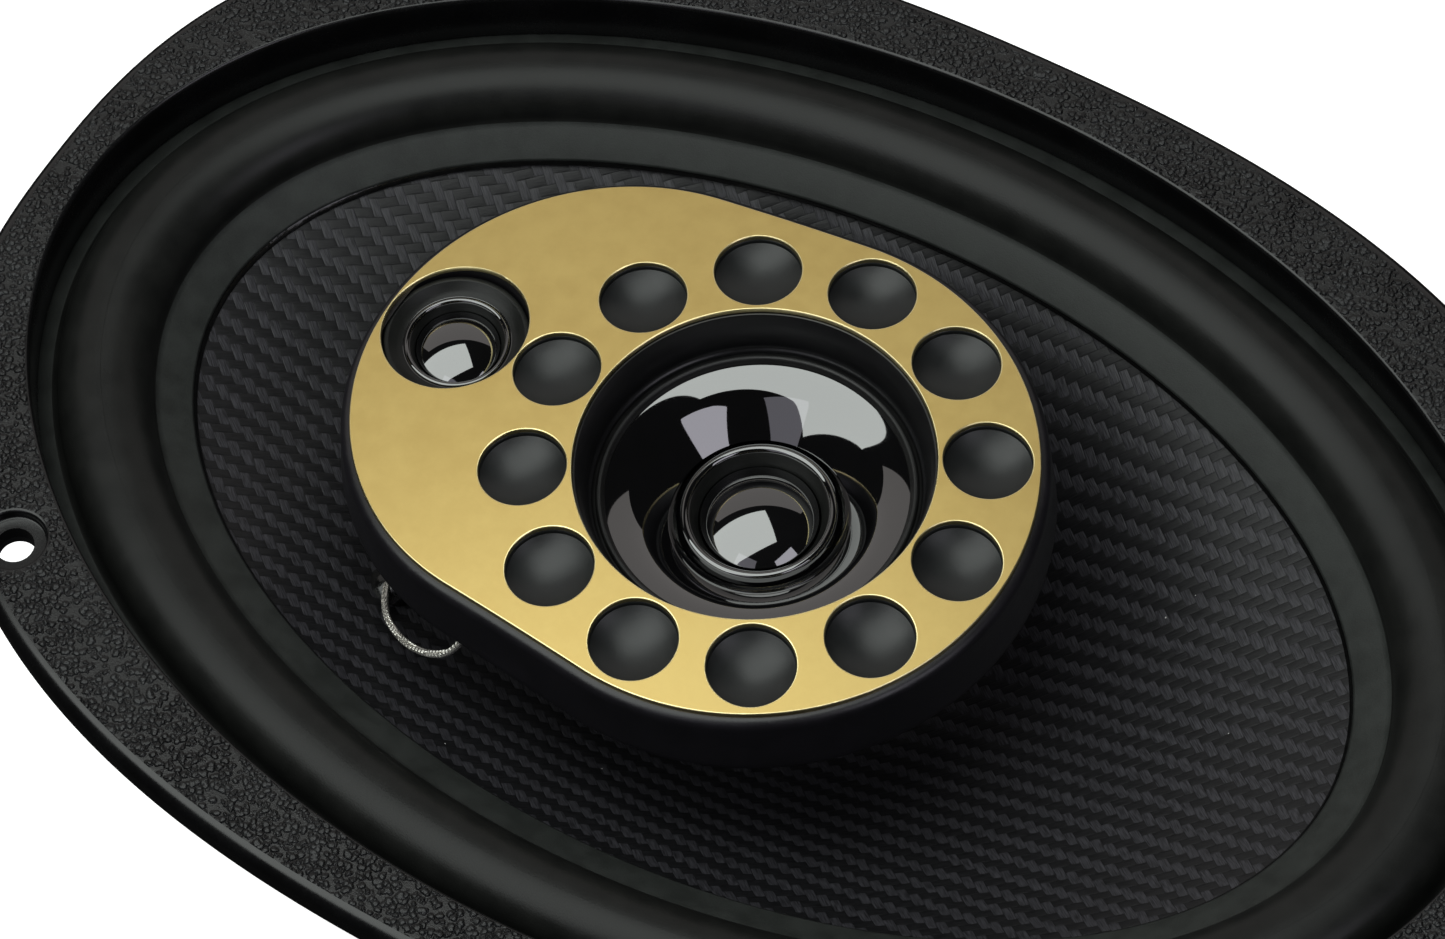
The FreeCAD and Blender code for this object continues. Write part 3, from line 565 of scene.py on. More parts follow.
def spun(profile: Sequence[Point], segments: int = 128, closed: bool = True) -> bmesh.types.BMesh:
    """Spin a profile of (r, z) points round the upright axis.

    Args:
        profile: points in millimetres.
        segments: number of steps round.
        closed: whether the profile's end joins its start.

    Returns:
        The mesh, in metres, with its faces outwards.
    """
    bm = bmesh.new()
    verts = [bm.verts.new((r * MM, 0.0, z * MM)) for r, z in profile]
    edges = [bm.edges.new(pair) for pair in zip(verts, verts[1:])]
    if closed:
        edges.append(bm.edges.new((verts[-1], verts[0])))
    bmesh.ops.spin(bm, geom=verts + edges, cent=(0, 0, 0), axis=UP, dvec=(0, 0, 0), angle=math.tau,
                   steps=segments, use_merge=True, use_normal_flip=False, use_duplicate=False)
    bmesh.ops.remove_doubles(bm, verts=bm.verts, dist=1e-6)
    bmesh.ops.recalc_face_normals(bm, faces=bm.faces)
    return bm


def soften(bm: bmesh.types.BMesh, width: float, segments: int = 2, angle: float = 30.0) -> None:
    """Round every edge that is sharper than an angle.

    Args:
        bm: the mesh.
        width: width of the rounding in millimetres.
        segments: steps across it.
        angle: smallest angle between faces, in degrees.
    """
    limit = math.radians(angle)
    sharp = [edge for edge in bm.edges if edge.is_manifold and edge.calc_face_angle(0.0) > limit]
    bmesh.ops.bevel(bm, geom=sharp, offset=width * MM, offset_type="OFFSET", segments=segments,
                    profile=0.5, affect="EDGES", clamp_overlap=True, material=-1)


def turned(name: str, profile: Sequence[Point], *finishes: Finish, x: float = 0.0, rounding: float = 0.2,
           segments: int = 128) -> bpy.types.Object:
    """Turned piece with rounded edges, on an upright axis at x millimetres."""
    bm = spun(profile, segments)
    if rounding:
        soften(bm, rounding)
    bmesh.ops.translate(bm, verts=bm.verts, vec=(x * MM, 0.0, 0.0))
    return to_piece(name, bm, *finishes)


@dataclass(frozen=True)
class OvalScale:
    """How a round profile becomes an oval one.

    Each row gives a half length, the half width and the squareness that go with it.
    """

    rows: tuple[tuple[float, float, float], ...]

    def at(self, half_length: float) -> tuple[float, float]:
        """Half width and squareness at a half length."""
        first, last = self.rows[0], self.rows[-1]
        if half_length <= first[0]:
            return half_length - first[0] + first[1], first[2]
        for low, high in zip(self.rows, self.rows[1:]):
            if half_length <= high[0]:
                share = (half_length - low[0]) / (high[0] - low[0])
                return low[1] + share * (high[1] - low[1]), low[2] + share * (high[2] - low[2])
        return half_length - last[0] + last[1], last[2]

    def place(self, half_length: float, angle: float) -> tuple[float, float]:
        """Point of the oval in the direction of an angle."""
        half_width, squareness = self.at(half_length)
        c, s = math.cos(angle), math.sin(angle)
        reach = (abs(c / half_length) ** squareness + abs(s / half_width) ** squareness) ** (-1 / squareness)
        return reach * c, reach * s

    def apply(self, bm: bmesh.types.BMesh) -> None:
        """Press every ring of a spun mesh into its oval."""
        for vert in bm.verts:
            x, y = self.place(math.hypot(vert.co.x, vert.co.y) / MM, math.atan2(vert.co.y, vert.co.x))
            vert.co.x, vert.co.y = x * MM, y * MM


def cut(piece: bpy.types.Object, cutters: Iterable[bmesh.types.BMesh]) -> None:
    """Cut closed shapes out of a piece and throw the cutters away."""
    for bm in cutters:
        mesh = bpy.data.meshes.new("cutter")
        bm.to_mesh(mesh)
        bm.free()
        tool = bpy.data.objects.new("cutter", mesh)
        bpy.context.scene.collection.objects.link(tool)
        knife = piece.modifiers.new("cut", "BOOLEAN")
        knife.operation = "DIFFERENCE"
        knife.solver = "EXACT"
        knife.object = tool
        settle(piece)
        bpy.data.objects.remove(tool)
        bpy.data.meshes.remove(mesh)


def settle(piece: bpy.types.Object) -> None:
    """Replace a piece's mesh by the result of its modifiers."""
    shaped = bpy.data.meshes.new_from_object(
        piece.evaluated_get(bpy.context.evaluated_depsgraph_get()))
    old = piece.data
    piece.modifiers.clear()
    piece.data = shaped
    bpy.data.meshes.remove(old)
    shaped.name = piece.name


def block(size: Sequence[float], centre: Sequence[float], rounding: float = 0.0) -> bmesh.types.BMesh:
    """Box of a size round a centre, in millimetres, with rounded edges."""
    bm = bmesh.new()
    bmesh.ops.create_cube(bm, size=1.0)
    bmesh.ops.scale(bm, verts=bm.verts, vec=Vector(size) * MM)
    bmesh.ops.translate(bm, verts=bm.verts, vec=Vector(centre) * MM)
    if rounding:
        soften(bm, rounding)
    return bm


def rod(radius: float, low: float, high: float, x: float, y: float, segments: int = 48) -> bmesh.types.BMesh:
    """Upright cylinder between two heights, in millimetres."""
    bm = bmesh.new()
    bmesh.ops.create_cone(bm, cap_ends=True, radius1=radius * MM, radius2=radius * MM,
                          depth=(high - low) * MM, segments=segments)
    bmesh.ops.translate(bm, verts=bm.verts, vec=Vector((x, y, (low + high) / 2)) * MM)
    return bm


def loop_of(verts: Sequence[bmesh.types.BMVert]) -> list[bmesh.types.BMEdge]:
    """Edges whose two ends are both among the vertices."""
    inside = set(verts)
    return list({edge for vert in verts for edge in vert.link_edges if set(edge.verts) <= inside})


def ring(bm: bmesh.types.BMesh, radius: float, z: float, x: float = 0.0, y: float = 0.0,
         segments: int = 48) -> list[bmesh.types.BMEdge]:
    """Open circle of edges at a height, in millimetres."""
    made = bmesh.ops.create_circle(bm, cap_ends=False, radius=radius * MM, segments=segments)["verts"]
    bmesh.ops.translate(bm, verts=made, vec=Vector((x, y, z)) * MM)
    return loop_of(made)


def sweep(bm: bmesh.types.BMesh, loop: list[bmesh.types.BMEdge], steps: Iterable[Point],
          outward: Callable[[Vector], Vector]) -> list[bmesh.types.BMEdge]:
    """Extrude a closed loop step by step.

    Args:
        bm: the mesh.
        loop: the edges to start from.
        steps: how far each step goes outward and upward, in millimetres.
        outward: the level direction that leads out of the loop at a point.

    Returns:
        The last loop.
    """
    for out, rise in steps:
        made = bmesh.ops.extrude_edge_only(bm, edges=loop)["geom"]
        verts = [item for item in made if isinstance(item, bmesh.types.BMVert)]
        for vert in verts:
            vert.co += outward(vert.co) * (out * MM) + UP * (rise * MM)
        loop = loop_of(verts)
    return loop


def away_from(x: float, y: float) -> Callable[[Vector], Vector]:
    """Direction that leads away from an upright axis, in millimetres."""

    def outward(point: Vector) -> Vector:
        return Vector((point.x - x * MM, point.y - y * MM, 0.0)).normalized()

    return outward


def quarter(radius: float, count: int, out: float, rise_first: bool = True) -> list[Point]:
    """Steps of a quarter round from a wall on to a flat top.

    Args:
        radius: radius of the rounding.
        count: number of steps.
        out: 1 where the top lies outward of the wall, -1 where it lies inward.
        rise_first: starts up the wall; False starts level and ends upright.

    Returns:
        Steps as (outward, upward).
    """
    steps = []
    for index in range(count):
        low, high = (math.pi / 2 * (index + k) / count for k in (0, 1))
        level = radius * (math.cos(low) - math.cos(high))
        rise = radius * (math.sin(high) - math.sin(low))
        steps.append((out * level, rise) if rise_first else (out * rise, level))
    return steps


def grid_cut(bm: bmesh.types.BMesh, low: Point, high: Point, pitch: float) -> None:
    """Slice flat faces along a grid, so that they can follow a crown."""
    for axis, (start, end) in enumerate(zip(low, high)):
        normal = Vector((1.0, 0.0, 0.0)) if axis == 0 else Vector((0.0, 1.0, 0.0))
        place = start
        while place < end:
            bmesh.ops.bisect_plane(bm, geom=bm.verts[:] + bm.edges[:] + bm.faces[:], dist=1e-7,
                                   plane_co=normal * (place * MM), plane_no=normal)
            place += pitch


# ---------------------------------------------------------------- studio
@dataclass(frozen=True)
class Camera:
    """Still camera, given by its view direction and place."""

    azimuth: float = 35.83
    elevation: float = 57.63
    roll: float = -5.70
    place: tuple[float, float, float] = (0.2607, -0.3687, 0.7236)
    lens: float = 153.2

    def build(self) -> None:
        """Make the scene's camera."""
        a, e, r = (math.radians(value) for value in (self.azimuth, self.elevation, self.roll))
        back = Vector((math.sin(a) * math.cos(e), -math.cos(a) * math.cos(e), math.sin(e)))
        level = Vector((math.cos(a), math.sin(a), 0.0))
        right = level * math.cos(r) + back.cross(level) * math.sin(r)
        turn = Matrix((right, back.cross(right), back)).transposed().to_4x4()
        data = bpy.data.cameras.new("camera")
        data.lens = self.lens
        data.sensor_width = 36.0
        data.clip_start, data.clip_end = 0.05, 50.0
        camera = bpy.data.objects.new("camera", data)
        camera.matrix_world = Matrix.Translation(self.place) @ turn
        bpy.context.scene.collection.objects.link(camera)
        bpy.context.scene.camera = camera


@dataclass(frozen=True)
class Softbox:
    """Flat studio light that faces the speaker."""

    name: str
    towards: tuple[float, float, float]
    distance: float
    width: float
    height: float
    power: float
    color: Color
    spin: float = 0.0

    def build(self) -> None:
        """Make the light; it shows in reflections and not to the camera."""
        data = bpy.data.lights.new(self.name, "AREA")
        data.shape = "RECTANGLE"
        data.size, data.size_y = self.width, self.height
        data.energy = self.power
        data.color = self.color
        back = Vector(self.towards).normalized()
        turn = back.to_track_quat("Z", "Y").to_matrix().to_4x4()
        light = bpy.data.objects.new(self.name, data)
        light.matrix_world = (Matrix.Translation(back * self.distance) @ turn
                              @ Matrix.Rotation(math.radians(self.spin), 4, "Z"))
        light.visible_camera = False
        bpy.context.scene.collection.objects.link(light)


@dataclass
class Studio:
    """Camera, soft lights, pale floor and surroundings."""

    floor_z: float
    floor_size: float = 30.0
    glow: float = 1.0
    gloom: float = 0.012
    lights: tuple[Softbox, ...] = (
        Softbox("overhead", (-0.27, -0.21, 0.94), 1.1, 1.45, 0.95, 11.4, (0.95, 1.0, 0.965), 104.0),
        Softbox("left_umbrella", (0.0, -0.75, 0.66), 1.3, 0.55, 0.8, 0.8, (0.9, 0.88, 1.0)),
        Softbox("right_umbrella", (0.735, -0.155, 0.66), 1.5, 0.7, 0.75, 3.2, (0.92, 0.9, 1.0)),
        Softbox("far_backdrop", (-0.52, 0.72, 0.5), 2.2, 4.4, 2.2, 14.0, (1.0, 0.95, 0.92)),
    )

    def build(self) -> None:
        """Make the whole studio."""
        Camera().build()
        for light in self.lights:
            light.build()
        self.floor()
        self.surroundings()
        bpy.context.scene.view_settings.view_transform = "Standard"

    def floor(self) -> None:
        """Plain pale floor under the magnet."""
        bm = bmesh.new()
        bmesh.ops.create_grid(bm, x_segments=2, y_segments=2, size=self.floor_size / 2)
        bmesh.ops.translate(bm, verts=bm.verts, vec=(0.0, 0.0, self.floor_z))
        floor = to_piece("floor", bm, PALE)
        floor.visible_glossy = floor.visible_diffuse = False

    def surroundings(self) -> None:
        """Pale to the camera, dim in reflections."""
        world = bpy.data.worlds.new("studio")
        world.use_nodes = True
        bpy.context.scene.world = world
        web = Web(world.node_tree)
        web.tree.nodes.clear()
        seen = web.node("ShaderNodeLightPath").outputs["Is Camera Ray"]
        strength = web.blend(seen, self.gloom, self.glow)
        sky = web.node("ShaderNodeBackground", {"Color": (1.0, 1.0, 1.0), "Strength": strength})
        web.node("ShaderNodeOutputWorld", {"Surface": sky.outputs[0]})


# ---------------------------------------------------------------- leads
@dataclass
class Leads:
    """Braided tinsel leads: terminals to cone, and cone to pod."""

    diameter: float = 1.2
    strand: float = 0.15
    strands: int = 5
    twists: float = 8.0
    weave: float = 0.14
    front: tuple[tuple[float, float, float], ...] = (
        (-0.0457, -0.0275, -0.0164), (-0.0434, -0.0324, -0.0144), (-0.0376, -0.0366, -0.0120),
        (-0.0314, -0.0384, -0.0090), (-0.0266, -0.0374, -0.0056), (-0.0256, -0.0336, -0.0016))
    rear: tuple[tuple[float, float, float], ...] = (
        (-0.0524, -0.0080, -0.04298), (-0.0474, -0.0096, -0.0410), (-0.0436, -0.0150, -0.0376),
        (-0.0424, -0.0216, -0.0330), (-0.0444, -0.0264, -0.0266), (-0.0457, -0.0275, -0.02035))

    def build(self) -> None:
        """Make the four leads."""
        for side in Side:
            word = side.name.lower()
            front = self.route(self.front, side)
            rear = self.route(self.rear, side)
            self.lead(f"pod_lead_{word}_braid", front, f"pod_lead_{word}")
            self.lead(f"woofer_lead_{word}_braid", rear, f"woofer_lead_{word}")

    def route(self, points: Sequence[Sequence[float]], side: Side) -> list[Vector]:
        """The route on one side of the long axis."""
        return [Vector((x, abs(y) * side.value, z)) for x, y, z in points]

    def line(self, route: Sequence[Vector]) -> list[Vector]:
        """Points along the smooth line that a route controls."""
        data = bpy.data.curves.new("line", "CURVE")
        data.dimensions = "3D"
        data.resolution_u = 24
        spline = data.splines.new("NURBS")
        spline.points.add(len(route) - 1)
        for point, place in zip(spline.points, route):
            point.co = (*place, 1.0)
        spline.order_u = 3
        spline.use_endpoint_u = True
        carrier = bpy.data.objects.new("line", data)
        mesh = bpy.data.meshes.new_from_object(carrier)
        points = [vert.co.copy() for vert in mesh.vertices]
        bpy.data.objects.remove(carrier)
        bpy.data.curves.remove(data)
        bpy.data.meshes.remove(mesh)
        return points

    def lead(self, name: str, route: list[Vector], node: str) -> None:
        """Make one lead.

        Args:
            name: name of the piece.
            route: control points from the exit to the far end.
            node: CAD node that the lead stands for.
        """
        path = self.line(route)
        data = bpy.data.curves.new(name, "CURVE")
        data.dimensions = "3D"
        data.bevel_depth = self.strand * MM
        data.bevel_resolution = 1
        data.use_fill_caps = True
        core = self.diameter / 2 - self.strand - self.weave
        for hand in (-1, 1):
            for index in range(self.strands):
                self.strand_on(data, path, hand, index / self.strands, core)
        self.core(data, path)
        carrier = bpy.data.objects.new(name, data)
        mesh = bpy.data.meshes.new_from_object(carrier)
        bpy.data.objects.remove(carrier)
        bpy.data.curves.remove(data)
        mesh.polygons.foreach_set("use_smooth", [True] * len(mesh.polygons))
        piece = bpy.data.objects.new(name, mesh)
        bpy.context.scene.collection.objects.link(piece)
        dress(piece, TINSEL)
        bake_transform(piece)
        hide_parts(node)
        length = sum((b - a).length for a, b in zip(path, path[1:]))
        [tuple(p) for p in path]
        LOG.info("%s: %.1f mm of braid", name, length / MM)

    def frames(self, path: Sequence[Vector]) -> Iterable[tuple[Vector, Vector, Vector]]:
        """Each point of a path with two directions across it that never twist."""
        side = (path[1] - path[0]).orthogonal().normalized()
        for index, place in enumerate(path):
            ahead = path[min(index + 1, len(path) - 1)] - path[max(index - 1, 0)]
            ahead.normalize()
            side = (side - ahead * side.dot(ahead)).normalized()
            yield place, side, ahead.cross(side)

    def strand_on(self, data: bpy.types.Curve, path: list[Vector], hand: int, phase: float,
                  core: float) -> None:
        """Add one strand that winds round the path, over and under the others."""
        spline = data.splines.new("POLY")
        spline.points.add(len(path) - 1)
        frames = list(self.frames(path))
        for index, (place, side, across) in enumerate(frames):
            turn = math.tau * (hand * self.twists * index / (len(path) - 1) + phase)
            over = math.cos(hand * turn * self.strands / 2)
            reach = (core + hand * self.weave * over) * MM
            where = place + (side * math.cos(turn) + across * math.sin(turn)) * reach
            spline.points[index].co = (*where, 1.0)

    def core(self, data: bpy.types.Curve, path: list[Vector]) -> None:
        """Add the strands in the middle of the lead."""
        for phase in (0.0, 0.5):
            spline = data.splines.new("POLY")
            spline.points.add(len(path) - 1)
            for point, (place, side, _) in zip(spline.points, self.frames(path)):
                point.co = (*(place + side * (0.25 * MM * math.cos(math.tau * phase))), 1.0)
                point.radius = 2.0


# ---------------------------------------------------------------- trim ring and basket
@dataclass
class TrimRing:
    """Front ring: grained flange, rolled outer edge and deep smooth mouth."""

    front: float = 5.0
    edge_radius: float = 2.3
    mouth: float = 111.4
    outside: float = 118.7
    wall: float = 1.8
    sheet: float = 1.2
    foot: float = -4.1
    lip: float = 0.7
    hole_x: float = 86.0
    hole_y: float = 57.0
    hole: float = 2.75
    recess: float = 4.6
    recess_depth: float = 1.5
    scale: OvalScale = OvalScale(((111.4, 74.4, 2.0), (113.2, 76.2, 2.0), (116.2, 81.7, 2.4),
                                  (118.7, 84.2, 2.4)))

    def build(self) -> None:
        """Make the ring."""
        top = self.front
        wall = self.mouth + self.wall
        corner = self.outside - self.edge_radius
        profile = [(corner, 0.0), (self.outside - 0.3, 0.0), (self.outside, 0.3)]
        profile += [(self.outside, top - self.edge_radius)]
        profile += arc((self.outside, top - self.edge_radius), (corner, top), -0.293 * self.edge_radius, 8)
        inner = self.mouth + self.lip
        profile += [(corner - (corner - inner) * k / 5, top) for k in range(1, 5)]
        profile += [(inner, top)]
        profile += arc((inner, top), (self.mouth, top - self.lip), -0.293 * self.lip, 5)
        profile += [(self.mouth, self.foot + 0.3), (self.mouth + 0.3, self.foot), (wall, self.foot)]
        profile += [(wall, self.sheet), (corner, self.sheet)]
        bm = spun(profile, 320)
        self.scale.apply(bm)
        for face in bm.faces:
            face.material_index = 1 if face.normal.z > 0.985 and face.calc_center_median().z > 3 * MM else 0
        piece = to_piece("trim_ring_shell", bm, TRIM, GRAIN)
        cut(piece, [self.screw_hole(x, y) for x in (-1, 1) for y in (-1, 1)])
        piece.data.set_sharp_from_angle(angle=math.radians(35))
        fasten(piece, Body.FRAME, "trim_plastic", "trim_ring")

    def screw_hole(self, x: int, y: int) -> bmesh.types.BMesh:
        """Cutter for one screw hole with its recess and rounded rim."""
        floor = self.front - self.recess_depth
        profile = [(0.0, -1.0), (self.hole, -1.0), (self.hole, floor), (self.recess - 0.3, floor)]
        profile += arc((self.recess - 0.3, floor), (self.recess, floor + 0.3), -0.1, 3)
        profile += [(self.recess, self.front - 0.5)]
        profile += arc((self.recess, self.front - 0.5), (self.recess + 0.5, self.front), 0.146, 4)
        profile += [(self.recess + 0.5, self.front + 1.0), (0.0, self.front + 1.0)]
        bm = spun(profile, 48)
        bmesh.ops.translate(bm, verts=bm.verts, vec=Vector((x * self.hole_x, y * self.hole_y, 0.0)) * MM)
        return bm


@dataclass
class Basket:
    """Pressed steel frame: flange, seat, spokes, spider shelf and motor can."""

    sheet: float = 1.2
    seat_z: float = -5.0
    shelf_z: float = -46.0
    can_z: float = -55.0
    windows: tuple[tuple[float, float], ...] = ((0, 20), (46, 17), (90, 17), (134, 17), (180, 20),
                                                (226, 17), (270, 17), (314, 17))
    window_top: float = -12.0
    corner: float = 4.0
    rib: float = 1.1
    scale: OvalScale = OvalScale(((16.9, 16.9, 2.0), (46.0, 46.0, 2.0), (107.5, 70.5, 2.0),
                                  (114.6, 77.6, 2.0), (116.2, 81.7, 2.4)))

    def build(self) -> None:
        """Make the basket."""
        t = self.sheet
        bowl_top = self.seat_z - t
        steps = 14
        inside = [(107.5 - 61.5 * k / steps, bowl_top + (self.shelf_z - bowl_top) * k / steps)
                  for k in range(steps + 1)]
        outside = [(r + t, z) for r, z in inside[::-1]]
        profile = [(116.2, 0.0), (116.2, t), (113.4, t), (113.4, self.seat_z), (107.5, self.seat_z)]
        profile += inside
        profile += [(39.0, self.shelf_z), (33.0, self.shelf_z), (33.0, self.can_z + t)]
        profile += [(16.9, self.can_z + t), (16.9, self.can_z), (33.0 + t, self.can_z)]
        profile += [(33.0 + t, self.shelf_z - t), (39.0, self.shelf_z - t), (46.0 + t, self.shelf_z - t)]
        profile += outside + [(114.6, bowl_top), (114.6, 0.0)]
        bm = spun(profile, 360)
        self.emboss(bm)
        self.scale.apply(bm)
        piece = to_piece("basket_pressing", bm, PAINT)
        cut(piece, [self.window(*row) for row in self.windows])
        cut(piece, [rod(2.75, -1.0, 3.0, x * 86.0, y * 57.0) for x in (-1, 1) for y in (-1, 1)])
        tidy = bmesh.new()
        tidy.from_mesh(piece.data)
        bmesh.ops.dissolve_degenerate(tidy, edges=tidy.edges, dist=1e-6)
        tidy.to_mesh(piece.data)
        tidy.free()
        piece.data.polygons.foreach_set("use_smooth", [True] * len(piece.data.polygons))
        piece.data.set_sharp_from_angle(angle=math.radians(35))
        edge = piece.modifiers.new("edge", "BEVEL")
        edge.width, edge.segments, edge.limit_method = 0.3 * MM, 2, "ANGLE"
        edge.angle_limit = math.radians(40)
        fasten(piece, Body.FRAME, "painted_steel", "basket")
        tab = to_piece("terminal_tab", block((17.5, 32.0, t), (-53.3, 0.0, self.shelf_z - t / 2), 0.3), PAINT)
        fasten(tab, Body.FRAME, "painted_steel")

    def emboss(self, bm: bmesh.types.BMesh) -> None:
        """Press a stiffening rib into each spoke."""
        spokes = []
        for (middle, half), (after, after_half) in zip(self.windows, self.windows[1:] + self.windows[:1]):
            spokes.append(((middle + half) + ((after - after_half) % 360)) / 2)
        for vert in bm.verts:
            height = vert.co.z / MM
            if not self.shelf_z + 1 < height < self.seat_z - 4:
                continue
            angle = math.degrees(math.atan2(vert.co.y, vert.co.x)) % 360
            near = min(abs((angle - spoke + 180) % 360 - 180) for spoke in spokes)
            fade = min(1.0, (height - self.shelf_z - 1) / 6, (self.seat_z - 4 - height) / 4)
            press = self.rib * fade * (0.5 + 0.5 * math.cos(math.pi * min(1.0, near / 3.6)))
            outward = Vector((vert.co.x, vert.co.y, 0.0)).normalized()
            vert.co -= outward * (press * MM)

    def window(self, middle: float, half: float) -> bmesh.types.BMesh:
        """Cutter for one gap between two spokes, with rounded corners."""
        low, high = self.shelf_z + 2.0, self.window_top
        near, far = 20.0, 150.0
        bm = block((far - near, 2.0, high - low), ((near + far) / 2, 0.0, (low + high) / 2))
        for vert in bm.verts:
            vert.co.y = math.copysign(vert.co.x * math.tan(math.radians(half)), vert.co.y)
        level = [edge for edge in bm.edges
                 if abs(edge.verts[0].co.z - edge.verts[1].co.z) < 1e-9
                 and abs(edge.verts[0].co.x - edge.verts[1].co.x) > 0.05]
        bmesh.ops.bevel(bm, geom=level, offset=self.corner * MM, offset_type="OFFSET", segments=5,
                        profile=0.5, affect="EDGES", clamp_overlap=True, material=-1)
        bmesh.ops.rotate(bm, verts=bm.verts, cent=(0, 0, 0),
                         matrix=Matrix.Rotation(math.radians(middle), 3, "Z"))
        keep = bmesh.ops.bisect_plane(bm, geom=bm.verts[:] + bm.edges[:] + bm.faces[:],
                                      plane_co=(0, 0, low * MM), plane_no=(0, 0, -1))
        del keep
        return bm


# ---------------------------------------------------------------- woofer diaphragm
@dataclass
class Diaphragm:
    """Surround, carbon cone, glue, spider and voice coil of the woofer."""

    base_z: float = -4.1
    crest_z: float = 1.9
    roll_outer: float = 108.5
    roll_inner: float = 94.0
    glue_outer: float = 113.1
    carbon_edge: float = 88.6
    lip_z: float = -6.31
    rubber: float = 0.8
    cone_edge_z: float = -5.0
    neck: float = 13.4
    neck_z: float = -38.0
    thickness: float = 0.8
    crest_band: float = 0.04
    fillet: float = 0.9
    eyelet: tuple[float, float, float] = (-45.7, 27.5, -18.2)
    scale: OvalScale = OvalScale(((13.0, 13.0, 2.0), (13.4, 13.4, 2.0), (88.6, 53.9, 2.0),
                                  (94.0, 59.0, 2.0), (108.5, 71.5, 2.0), (113.1, 76.1, 2.0)))
    cone_scale: OvalScale = OvalScale(((13.0, 13.0, 2.0), (13.4, 13.4, 2.0), (94.0, 59.0, 2.0)))

    def build(self) -> None:
        """Make every piece of the diaphragm."""
        self.surround()
        self.cone()
        self.bead()
        self.glue_dabs()
        self.spider()
        self.voice_coil()

    def roll(self) -> list[Point]:
        """Front of the half roll, from its outer valley to its inner one."""
        middle = (self.roll_outer + self.roll_inner) / 2
        half = (self.roll_outer - self.roll_inner) / 2
        height = self.crest_z - self.base_z
        points = []
        steps = 36
        for index in range(steps + 1):
            turn = math.pi * index / steps
            points.append((middle + half * math.cos(turn), self.base_z + height * math.sin(turn) ** 0.92))
        return points

    def surround(self) -> None:
        """Rubber roll in two halves that meet at its crest."""
        roll = self.roll()
        middle = len(roll) // 2
        crest = roll[middle]
        foot = self.roll_outer + self.fillet
        outer = [(self.glue_outer, self.base_z), (foot, self.base_z)]
        outer += [(self.roll_outer + 0.15, self.base_z + 0.35)] + roll[2:middle]
        outer += [(crest[0] + self.crest_band, crest[1]), crest]
        inner = [crest, (crest[0] - self.crest_band, crest[1])] + roll[middle + 1:-2]
        inner += [(self.roll_inner - 0.15, self.base_z + 0.35), (self.roll_inner - self.fillet,
                                                                 self.base_z - 0.1)]
        inner += [(self.carbon_edge + 0.3, self.lip_z), (self.carbon_edge, self.lip_z - 0.3)]
        for word, profile, bodies, flip in (("outer", outer, (Body.FRAME, Body.WOOFER), False),
                                            ("inner", inner, (Body.FRAME, Body.WOOFER), True)):
            bm = spun(profile, 288, closed=False)
            self.scale.apply(bm)
            if sum(face.normal.z for face in bm.faces) < 0:
                bmesh.ops.reverse_faces(bm, faces=bm.faces)
            for face in bm.faces:
                centre = face.calc_center_median()
                face.material_index = 1 if centre.z < (self.base_z + 0.15) * MM else 0
            piece = to_piece(f"surround_{word}_half", bm, RUBBER, LIP, angle=60)
            skin = piece.modifiers.new("skin", "SOLIDIFY")
            skin.thickness, skin.offset = self.rubber * MM, -1.0
            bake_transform(piece)
            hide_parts("surround")
            LOG.info("%s: %d faces", piece.name, len(piece.data.polygons))

    def cone(self) -> None:
        """Carbon-cloth cone with its neck."""
        edge = self.roll_inner
        steps = 26
        front = [(self.neck + (edge - self.neck) * k / steps,
                  self.neck_z + (self.cone_edge_z - self.neck_z) * k / steps) for k in range(steps + 1)]
        back = [(r, z - self.thickness) for r, z in front[1:]][::-1]
        profile = front + back + [(self.neck + 0.8, self.neck_z - 0.6), (self.neck + 0.8, -41.0),
                                  (13.1, -41.0), (13.1, self.neck_z - 0.2)]
        bm = spun(profile, 240)
        self.cone_scale.apply(bm)
        piece = to_piece("woofer_cone_shell", bm, CARBON)
        fasten(piece, Body.WOOFER, "carbon_cloth", "woofer_cone")

    def bead(self) -> None:
        """Thin line of black glue where the lip ends on the carbon."""
        r = self.carbon_edge
        profile = [(r + 0.1, self.lip_z - 0.75), (r + 0.1, self.lip_z - 0.3), (r - 0.15, self.lip_z - 0.5),
                   (r - 0.5, self.lip_z - 0.98)]
        bm = spun(profile, 240)
        self.scale.apply(bm)
        piece = to_piece("lip_glue_line", bm, GLUE)
        fasten(piece, Body.WOOFER, "black_glue")

    def glue_dabs(self) -> None:
        """Round dabs of glue over the two eyelets."""
        x, y, z = self.eyelet
        for side in Side:
            bm = bmesh.new()
            bmesh.ops.create_icosphere(bm, subdivisions=5, radius=3.7 * MM)
            for vert in bm.verts:
                turn = math.atan2(vert.co.y, vert.co.x)
                swell = 1.0 + 0.07 * math.sin(3 * turn + 1.0) + 0.04 * math.sin(5 * turn)
                vert.co.x *= swell
                vert.co.y *= swell
                vert.co.z = vert.co.z * 0.8
            slope = Matrix.Rotation(math.radians(-21.0), 3, "Y") @ Matrix.Rotation(
                math.radians(-side.value * 17.0), 3, "X")
            bmesh.ops.rotate(bm, verts=bm.verts, cent=(0, 0, 0), matrix=slope)
            bmesh.ops.translate(bm, verts=bm.verts, vec=Vector((x, y * side.value, z - 0.6)) * MM)
            piece = to_piece(f"glue_dab_{side.name.lower()}", bm, GLUE)
            fasten(piece, Body.WOOFER, "black_glue", "glue_dabs")

